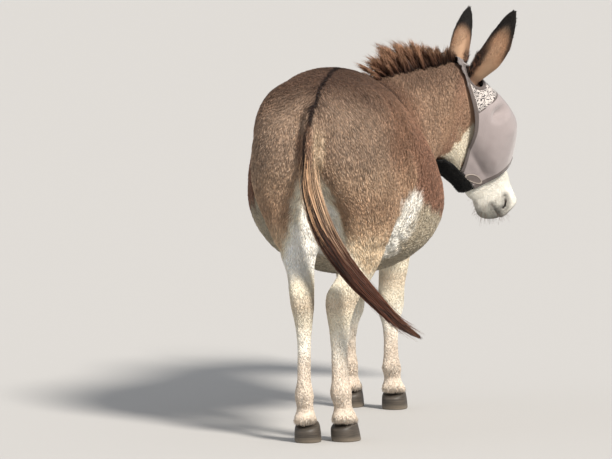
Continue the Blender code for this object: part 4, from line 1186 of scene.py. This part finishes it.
def makeWhiskers():
    # stiff dark bristles on the lips and the chin
    rng = np.random.default_rng(longHair["seed"] + 3)

    def onLips(points):
        along, _, out = headCoords(points)
        return isHead(points) * ease(0.41, 0.46, along) * ease(-0.075, -0.11, out) + 1e-6

    places, normals, roots = scatter(skin.data, 150, 12, onLips)
    shape, faces = lockShape([0.35, 0.7], curveThrough({0.0: 1.0, 0.5: 0.8, 1.0: 0.0}))
    shares = np.unique(np.round(shape[:, 2], 6))
    long = rng.uniform(0.012, 0.026, len(places))
    way = normals + np.array(nose) * 0.35 + 0.25 * rng.normal(size=places.shape)
    way /= np.linalg.norm(way, axis=1)[:, None]
    lines = places[:, None] + way[:, None] * (long[:, None] * shares)[..., None]
    lines[..., 2] -= 0.25 * long[:, None] * shares ** 2
    points = alongLines(lines, np.full(len(places), 0.00030), shape, 0.8, np.cross(way, normals + 0.3))[0]
    tints = np.tile(hairShades["maneMiddle"] * 0.8, (len(places), len(shape), 1))
    makeLocks("muzzle_whiskers", points, tints, roots, shape, faces, bpy.data.materials["coarse_tail_hair"])


tree = hideTree()
makeMane(tree)
makeTail()
makeEarFringe()
makeWhiskers()


# eyes

eyeShades = {name: np.array(hexColour(code)[:3]) for name, code in {
    "pupil": "05060a", "iris": "3a2212", "irisEdge": "1c120c", "white": "8f8378"}.items()}


def makeEye(hand, node):
    middle, out, along, up = eyeFrame(hand)
    bm = bmesh.new()
    turned = Matrix((along, up * 1.0, along.cross(up))).transposed().to_4x4()
    bmesh.ops.create_uvsphere(bm, u_segments=eye["segments"], v_segments=eye["segments"] // 2,
                              radius=eye["radius"],
                              matrix=Matrix.Translation(middle) @ turned)
    bmesh.ops.recalc_face_normals(bm, faces=bm.faces)
    obj = newObject(node + "_ball", bm)
    away = vertexPlaces(obj.data) - np.array(middle)
    x, y, z = (away @ np.array(a) for a in (along, up, out))
    front = z > 0
    reach = np.hypot(x, y)
    tint = np.tile(eyeShades["white"], (len(away), 1))
    ring = (ease(eye["iris"] + 0.0008, eye["iris"] - 0.0008, reach) * front)[:, None]
    tint = tint * (1 - ring) + eyeShades["irisEdge"] * ring
    ring = (ease(eye["iris"] - 0.001, eye["iris"] - 0.004, reach) * front)[:, None]
    tint = tint * (1 - ring) + eyeShades["iris"] * ring
    slot = (ease(1.15, 0.9, np.hypot(x / eye["pupilWide"], y / eye["pupilHigh"])) * front)[:, None]
    tint = tint * (1 - slot) + eyeShades["pupil"] * slot
    setTint(obj.data, tint)
    material, tree, shader = newMaterial("wet_eye", 0.06, 1.376, Coat_Weight=1.0, Coat_Roughness=0.02)
    colour = addNode(tree, "Attribute", attribute_name="tint")
    tree.links.new(colour.outputs["Color"], shader.inputs["Base Color"])
    finishPiece(obj, material)
    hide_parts(node)


makeEye(-1, "eye_left")
makeEye(1, "eye_right")
print("eyes")


# hooves

def loftThrough(rings):
    # a circle extruded from ring to ring, closed at both ends
    bm = bmesh.new()
    ring = bmesh.ops.create_circle(bm, cap_ends=True, segments=len(rings[0]), radius=1.0)["verts"]
    for v, place in zip(ring, rings[0]):
        v.co = place
    number = {v: i for i, v in enumerate(ring)}
    edges = list(bm.edges)
    for places in rings[1:]:
        made = bmesh.ops.extrude_edge_only(bm, edges=edges)["geom"]
        fresh = [g for g in made if isinstance(g, bmesh.types.BMVert)]
        following = {}
        for v in fresh:
            old = next(e.other_vert(v) for e in v.link_edges if e.other_vert(v) in number)
            following[v] = number[old]
        for v, i in following.items():
            v.co = places[i]
        edges = [e for e in bm.edges if e.verts[0] in following and e.verts[1] in following]
        number = following
    bmesh.ops.edgeloop_fill(bm, edges=edges)
    bmesh.ops.recalc_face_normals(bm, faces=bm.faces)
    return bm


hoof = {"segments": 72, "round": 2.25,
        "turns": {"hoof_fore_left": 0.0, "hoof_fore_right": 4.0, "hoof_hind_left": 0.0,
                  "hoof_hind_right": 22.0},
        "rings": [(0.0, 0.014, 0.0430, 0.0340, 0.0), (0.0015, 0.014, 0.0458, 0.0368, 0.0),
                  (0.004, 0.0135, 0.0466, 0.0376, 0.0), (0.012, 0.011, 0.0462, 0.0375, 0.04),
                  (0.022, 0.008, 0.0452, 0.0370, 0.10), (0.029, 0.006, 0.0442, 0.0366, 0.15),
                  (0.037, 0.0035, 0.0425, 0.0358, 0.22), (0.045, 0.0012, 0.0405, 0.0345, 0.29),
                  (0.049, 0.0008, 0.0385, 0.0328, 0.30), (0.051, 0.0004, 0.0350, 0.0300, 0.30),
                  (0.0525, 0.0, 0.028, 0.024, 0.30)]}


def hornMaterial():
    # hoof horn: dull keratin in fine rings that follow the coronet, worn paler near the ground
    material, tree, shader = newMaterial("hoof_horn", 0.55, 1.54, Specular_IOR_Level=0.4)
    places = addNode(tree, "TexCoord")
    split = addNode(tree, "SeparateXYZ", {"Vector": places.outputs["Object"]})
    flat = addNode(tree, "Mapping", {"Vector": places.outputs["Object"], "Scale": (9.0, 9.0, 150.0)})
    rings = addNode(tree, "TexNoise", {"Vector": flat.outputs["Vector"], "Scale": 2.2, "Detail": 4.0})
    grain = addNode(tree, "Mapping", {"Vector": places.outputs["Object"], "Scale": (420.0, 420.0, 24.0)})
    fibres = addNode(tree, "TexNoise", {"Vector": grain.outputs["Vector"], "Scale": 1.0, "Detail": 3.0})
    ramp = addNode(tree, "ValToRGB", {"Fac": rings.outputs["Fac"]})
    ramp.color_ramp.elements[0].position, ramp.color_ramp.elements[1].position = 0.35, 0.68
    ramp.color_ramp.elements[0].color = hexColour("36312b")
    ramp.color_ramp.elements[1].color = hexColour("504840")
    low = addNode(tree, "MapRange", {"Value": split.outputs["Z"], "From Min": 0.0, "From Max": 0.018,
                                     "To Min": 0.6, "To Max": 0.0})
    mixed = addNode(tree, "MixRGB", {"Fac": low.outputs["Result"], "Color1": ramp.outputs["Color"],
                                     "Color2": hexColour("8f8373")})
    tree.links.new(mixed.outputs["Color"], shader.inputs["Base Color"])
    bump = addNode(tree, "Bump", {"Height": rings.outputs["Fac"], "Strength": 0.5, "Distance": 0.0012})
    fine = addNode(tree, "Bump", {"Height": fibres.outputs["Fac"], "Strength": 0.25, "Distance": 0.0005,
                                  "Normal": bump.outputs["Normal"]})
    tree.links.new(fine.outputs["Normal"], shader.inputs["Normal"])
    return material


def makeHoof(node, material):
    turn = math.radians(hoof["turns"][node])
    ahead = toWorld(math.cos(turn), math.sin(turn), 0.0)
    across = toWorld(-math.sin(turn), math.cos(turn), 0.0)
    middle = boxMiddle(node) - ahead * 0.010
    middle.z = 0.0
    rings = []
    for z, forward, deep, wide, slant in hoof["rings"]:
        ring = []
        for i in range(hoof["segments"]):
            a = 2 * math.pi * i / hoof["segments"]
            x = math.copysign(abs(math.cos(a)) ** (2 / hoof["round"]), math.cos(a)) * wide
            y = math.copysign(abs(math.sin(a)) ** (2 / hoof["round"]), math.sin(a)) * deep
            ring.append(middle + across * x + ahead * (forward + y) + Vector((0, 0, z + slant * y)))
        rings.append(ring)
    obj = newObject(node + "_horn", loftThrough(rings))
    finishPiece(obj, material)
    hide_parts(node)


horn = hornMaterial()
for node in hoof["turns"]:
    makeHoof(node, horn)
print("hooves")


# the fly mask: sheets of cloth over the head

def headTree():
    bm = bmesh.new()
    for name in ("head", "neck"):
        bm.from_mesh(nodes[name].data)
    tree = BVHTree.FromBMesh(bm)
    bm.free()
    return tree


bareHead = headTree()


def maskPoint(t, angle, lift):
    a = math.radians(angle)
    way = side * math.sin(a) + brow * math.cos(a)
    start = onHead(t * k, 0.0, float(maskMiddle(t)) * k)
    if t < 0.006:
        hit, normal = bareHead.find_nearest(start + way * 0.072)[:2]
        return hit + normal * lift
    hit = bareHead.ray_cast(start, way)[0] or start + way * 0.1
    over = bareHead.ray_cast(start + way * 0.19, -way)[0] if t < 0.12 else None
    if over and (over - start).dot(way) > (hit - start).dot(way):
        hit = hit.lerp(over, float(ease(0.12, 0.08, t)))
    return hit + way * lift


def maskLift(t, angle):
    return mask["off"] + float(maskDart(t)) * float(maskRound(abs(angle)))


def maskSheet(name, where, columns, rows, base, thick, evenings=2, sag=0.0, lift=maskLift, hole=None):
    # a grid laid over the head: where(x, y) gives its share along the head and its angle round it
    bm = bmesh.new()
    bmesh.ops.create_grid(bm, x_segments=columns, y_segments=rows, size=1.0)
    layer = bm.loops.layers.uv.new("cloth")
    spots = np.zeros((rows + 1, columns + 1, 3))
    spans = np.zeros((rows + 1, columns + 1, 2))
    index = {}
    for v in bm.verts:
        i, j = round((v.co.y + 1) / 2 * rows), round((v.co.x + 1) / 2 * columns)
        index[v] = (i, j)
        t, angle = where(j / columns, i / rows)
        turn = (angle + 180) % 360 - 180
        spans[i, j] = t, turn
        spots[i, j] = maskPoint(t, turn, lift(t, turn) + base)
    for _ in range(evenings):
        around = (spots[:-2, 1:-1] + spots[2:, 1:-1] + spots[1:-1, :-2] + spots[1:-1, 2:]) / 4
        spots[1:-1, 1:-1] = (spots[1:-1, 1:-1] + around) / 2
    middle = np.array(onHead(0.2 * k, 0.0, -0.09 * k))
    if sag:
        flat = spots.reshape(-1, 3)
        out = flat - middle
        out /= np.linalg.norm(out, axis=1)[:, None]
        flat += out * (sag * (ripple(flat, 0.055, 61) + 0.5 * ripple(flat, 0.022, 62)))[:, None]
    stepsAcross = np.linalg.norm(np.diff(spots, axis=1), axis=2)
    stepsAlong = np.linalg.norm(np.diff(spots, axis=0), axis=2)
    across = np.concatenate([np.zeros((rows + 1, 1)), np.cumsum(stepsAcross, axis=1)], axis=1)
    along = np.concatenate([np.zeros((1, columns + 1)), np.cumsum(stepsAlong, axis=0)])
    across -= across[:, columns // 2][:, None]
    along += spans[:1, :, 0] * k
    if hole:
        inside = [f for f in bm.faces if all(hole(*spans[index[v]]) for v in f.verts)]
        bmesh.ops.delete(bm, geom=inside, context="FACES")
    for v in bm.verts:
        i, j = index[v]
        v.co = spots[i, j]
        for loop in v.link_loops:
            loop[layer].uv = (across[i, j], along[i, j])
    bmesh.ops.remove_doubles(bm, verts=bm.verts[:], dist=1e-6)
    obj = newObject(name, bm)
    normals, places = vertexNormals(obj.data), vertexPlaces(obj.data)
    if np.sum(normals * (places - middle)) < 0:
        obj.data.flip_normals()
    wall = obj.modifiers.new("thickness", "SOLIDIFY")
    wall.thickness = thick
    wall.offset = 1.0
    applyModifiers(obj)
    return obj


def edgeBand(edge, limit, width, start):
    # a tape of even width along an edge of the mask
    def where(x, y):
        angle = -limit + 2 * limit * x
        a = abs(angle)
        slope = float(edge(a + 0.5) - edge(a - 0.5)) * k / (math.radians(1.0) * 0.095)
        inward = (start + width * y) / math.sqrt(1 + slope * slope)
        turned = a - math.degrees(inward * slope / 0.095)
        return float(edge(a)) + inward / k, math.copysign(turned, angle) if angle else 0.0
    return where


def earHole(t, angle):
    deep = (t - mask["holeAt"][0]) / mask["holeSize"][0]
    wide = (abs(angle) - mask["holeAt"][1]) / mask["holeSize"][1]
    return deep * deep + wide * wide < 1


def holeBand(hand):
    def where(x, y):
        a = 2 * math.pi * x
        size = 0.90 + 0.26 * y
        t = mask["holeAt"][0] + mask["holeSize"][0] * size * math.sin(a)
        return t, hand * (mask["holeAt"][1] + mask["holeSize"][1] * size * math.cos(a))
    return where


def clothMaterial(name, colour, dark, thread, roughness, addPrint=None, sheen=0.3):
    # woven polyester mesh: two crossing threads, dull, a little see-through dark in its holes
    material, tree, shader = newMaterial(name, roughness, 1.5, Specular_IOR_Level=0.3)
    shader.inputs["Sheen Weight"].default_value = sheen
    cloth = addNode(tree, "UVMap", uv_map="cloth")
    warp = addNode(tree, "TexWave", {"Vector": cloth.outputs["UV"], "Scale": 0.314 / thread / 2},
                   wave_type="BANDS", bands_direction="X")
    weft = addNode(tree, "TexWave", {"Vector": cloth.outputs["UV"], "Scale": 0.314 / thread / 2},
                   wave_type="BANDS", bands_direction="Y")
    threads = addNode(tree, "Math", {0: warp.outputs["Fac"], 1: weft.outputs["Fac"]}, operation="MAXIMUM")
    places = addNode(tree, "TexCoord")
    soil = addNode(tree, "TexNoise", {"Vector": places.outputs["Object"], "Scale": 14.0, "Detail": 5.0})
    ground = addNode(tree, "MixRGB", {"Fac": threads.outputs["Value"], "Color1": hexColour(dark),
                                      "Color2": hexColour(colour)})
    if addPrint:
        ground = addPrint(tree, cloth, ground)
    shade = addNode(tree, "MapRange", {"Value": soil.outputs["Fac"], "From Min": 0.3, "From Max": 0.7,
                                       "To Min": 0.86, "To Max": 1.05})
    final = addNode(tree, "VectorMath", {0: ground.outputs["Color"], 1: shade.outputs["Result"]},
                    operation="MULTIPLY")
    tree.links.new(final.outputs["Vector"], shader.inputs["Base Color"])
    bump = addNode(tree, "Bump", {"Height": threads.outputs["Value"], "Strength": 0.4, "Distance": 0.0006})
    tree.links.new(bump.outputs["Normal"], shader.inputs["Normal"])
    return material


def scrollPrint(tree, cloth, ground):
    # small dark curls strewn over the pale ground, each about a centimetre long
    bend = addNode(tree, "TexNoise", {"Vector": cloth.outputs["UV"], "Scale": 90.0, "Detail": 1.0})
    ring = addNode(tree, "TexWave", {"Vector": cloth.outputs["UV"], "Scale": 26.0, "Distortion": 18.0,
                                     "Detail": 1.5,
                                     "Detail Scale": 2.8}, wave_type="RINGS")
    line = addNode(tree, "MapRange", {"Value": ring.outputs["Fac"], "From Min": 0.54, "From Max": 0.64,
                                      "To Max": 1.0})
    patch = addNode(tree, "MapRange", {"Value": bend.outputs["Fac"], "From Min": 0.38, "From Max": 0.44,
                                       "To Max": 1.0})
    both = addNode(tree, "Math", {0: line.outputs["Result"], 1: patch.outputs["Result"]},
                   operation="MULTIPLY")
    dark = hexColour("2b272c")
    return addNode(tree, "MixRGB", {"Fac": both.outputs["Value"], "Color1": ground.outputs["Color"],
                                    "Color2": dark})


def fleecePile(strap, material):
    # short curly tufts over the outside of the fleece
    rng = np.random.default_rng(9)
    places, normals, _ = scatter(strap.data, 5200, 9, lambda p: np.ones(len(p)), "cloth")
    away = places - np.array(onHead(0.2 * k, 0.0, -0.09 * k))
    outside = np.sum(away * normals, axis=1) > 0
    places, normals = places[outside], normals[outside]
    shape, faces = tuftShape(0.5)
    turn = np.cross(normals, rng.normal(size=places.shape))
    turn /= np.linalg.norm(turn, axis=1)[:, None]
    share = shape[:, 2]
    length = rng.uniform(0.004, 0.007, len(places))
    lines = normals[:, None] * (length[:, None] * np.sin(share * 1.5) * 0.6 - 0.0008)[..., None]
    lines = lines + turn[:, None] * (length[:, None] * share ** 1.5)[..., None]
    third = np.cross(turn, normals)
    points = places[:, None] + lines + third[:, None] * (0.0011 * shape[:, 0])[None, :, None]
    points = points + normals[:, None] * (0.0005 * shape[:, 1])[None, :, None]
    tints = np.full((len(places), len(shape), 3), 0.006) * rng.uniform(0.5, 2.2, len(places))[:, None, None]
    roots = np.zeros((len(places), 2)) + 0.5
    makeLocks("mask_fleece_pile", points, tints, roots, shape, faces, material)


def makeMask():
    meshCloth = clothMaterial("polyester_fly_mesh", "a39998", "6d6565", 0.0016, 0.75)
    printCloth = clothMaterial("printed_polyester", "c4beb9", "9d9490", 0.0016, 0.75, scrollPrint)
    tape = clothMaterial("binding_tape", "625956", "403a38", 0.0012, 0.8)
    stitching = clothMaterial("pale_stitching", "b3a89d", "8b8179", 0.0010, 0.8)
    pollCloth = clothMaterial("folded_mesh_band", "837b79", "4f4948", 0.0016, 0.8)
    labelCloth = clothMaterial("bare_label", "6e6461", "5b5350", 0.0010, 0.7)
    fleeceCloth = clothMaterial("black_fleece", "0f0f10", "050505", 0.0030, 0.95, None, 0.05)
    front, seam = mask["front"], mask["seam"]

    def panel(limit, rear, ahead):
        def where(x, y):
            angle = (2 * x - 1) * limit
            return rear(abs(angle)) + (ahead(abs(angle)) - rear(abs(angle))) * y, angle
        return where

    body = maskSheet("mask_mesh_panel",
                     panel(mask["bodyAngle"], lambda a: max(seam + 0.0006, float(maskRear(a))),
                           lambda a: front),
                     150, 44, 0.0004, 0.0009, evenings=14, sag=0.0010)
    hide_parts("fly_mask")
    crown = maskSheet("mask_crown_panel", panel(mask["crownAngle"], lambda a: float(maskRear(a)),
                                                lambda a: seam - 0.0002),
                      150, 60, 0.0004, 0.0010, sag=0.0008, hole=earHole)
    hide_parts("mask_crown")
    def pollBand(x, y):
        angle = -50.0 + 113.0 * x
        rear = float(maskRear(abs(angle)))
        return rear + 0.004 - (0.004 + 0.034 * float(ease(66.0, 44.0, abs(angle)))) * (1 - y), angle

    strapRear = curveThrough({150: 0.215, 180: 0.195})
    strap = maskSheet("mask_jaw_fleece", lambda x, y: (float(strapRear(180 - abs(29.5 - 59 * x)))
                      + (front - 0.004 - float(strapRear(180 - abs(29.5 - 59 * x)))) * y, 150.5 + 59 * x),
                      40, 26, 0.0, 0.0065, lift=lambda t, a: mask["off"])
    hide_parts("mask_strap")
    pieces = [
        (body, meshCloth, "mask_mesh"), (crown, printCloth, "mask_print"),
        (strap, fleeceCloth, "mask_fleece"),
        (maskSheet("mask_front_hem", panel(mask["bodyAngle"], lambda a: front - 0.011,
                                           lambda a: front + 0.0008), 160, 5, 0.0014, 0.0014),
         tape, "mask_mesh"),
        (maskSheet("mask_rear_tape", edgeBand(maskRear, mask["bodyAngle"], 0.0105, -0.0025), 180, 5, 0.0016,
                   0.0014), tape, "mask_mesh"),
        (maskSheet("mask_seam_tape", panel(74.0, lambda a: seam - 0.0018, lambda a: seam + 0.0022), 110, 4,
                   0.0012, 0.0008),
         tape, "mask_mesh"),
        (maskSheet("mask_poll_band", pollBand, 90, 16, 0.0, 0.0018, evenings=4,
                   lift=lambda t, a: 0.0110 + 0.0030 * math.sin(t * 480.0 + a * 0.03)),
         pollCloth, "mask_mesh")]
    for hand, name in ((-1, "left"), (1, "right")):
        pieces.append((maskSheet("mask_ear_band_" + name, holeBand(hand), 110, 5, 0.0014, 0.0014), tape,
                       "mask_mesh"))
    at, size = mask["labelAt"], mask["labelSize"]

    def oval(low, high):
        def where(x, y):
            a, reach = 2 * math.pi * x, low + (high - low) * y
            u, v = size[0] * reach * math.cos(a), size[1] * reach * math.sin(a)
            return at[0] + (0.76 * u + 0.64 * v) / k, at[1] + (0.76 * v - 0.64 * u) / 0.00164
        return where

    pieces.append((maskSheet("mask_label", oval(0.02, 0.90), 64, 10, 0.0018, 0.0012), labelCloth,
                   "mask_mesh"))
    pieces.append((maskSheet("mask_label_stitching", oval(0.84, 1.0), 64, 3, 0.0020, 0.0018), stitching,
                   "mask_mesh"))
    for obj, material, slot in pieces:
        finishPiece(obj, material)
    fleecePile(strap, hairMaterial("black_fleece_pile", 0.85, 0.0))


makeMask()
print("mask")


# floor, light and camera

studio = {"floor": "b7b6b4", "world": "eef1f6", "worldStrength": 0.56, "sun": 5.45,
          "sunFrom": (-0.62, 0.62, 0.70), "sunWide": 12.0}


def makeStage():
    bm = bmesh.new()
    bmesh.ops.create_circle(bm, cap_ends=True, segments=64, radius=95.0)
    floor = newObject("studio_floor", bm)
    material, _, shader = newMaterial("matte_floor_paint", 0.9, 1.5, Specular_IOR_Level=0.2)
    shader.inputs["Base Color"].default_value = hexColour(studio["floor"])
    floor.data.materials.append(material)
    world = bpy.data.worlds.new("pale studio")
    world.use_nodes = True
    world.node_tree.nodes["Background"].inputs["Color"].default_value = hexColour(studio["world"])
    world.node_tree.nodes["Background"].inputs["Strength"].default_value = studio["worldStrength"]
    bpy.context.scene.world = world
    bpy.context.scene.view_settings.view_transform = "Standard"


def addLight(name, towards, strength, wide, colour):
    # an even, soft lamp that shines from the given side
    lamp = bpy.data.lights.new(name, "SUN")
    lamp.energy = strength
    lamp.angle = math.radians(wide)
    lamp.color = hexColour(colour)[:3]
    obj = bpy.data.objects.new(name, lamp)
    obj.location = Vector(towards) * 5
    obj.rotation_euler = Vector(towards).to_track_quat("Z", "Y").to_euler()
    bpy.context.scene.collection.objects.link(obj)


def addCamera():
    lens = bpy.data.cameras.new("camera")
    lens.lens = 252.1
    lens.sensor_width = 36.0
    lens.clip_end = 200.0
    obj = bpy.data.objects.new("camera", lens)
    obj.location = (bodyAt.x - 2.276, bodyAt.y + 11.782, 1.5)
    obj.rotation_euler = Vector((0.19029, -0.97894, -0.07393)).to_track_quat("-Z", "Y").to_euler()
    bpy.context.scene.collection.objects.link(obj)
    bpy.context.scene.camera = obj


makeStage()
addLight("key", studio["sunFrom"], studio["sun"], studio["sunWide"], "fff8ef")
addLight("fill", (0.75, 0.55, 0.45), 0.25, 40.0, "eef3ff")
addCamera()
print("stage")
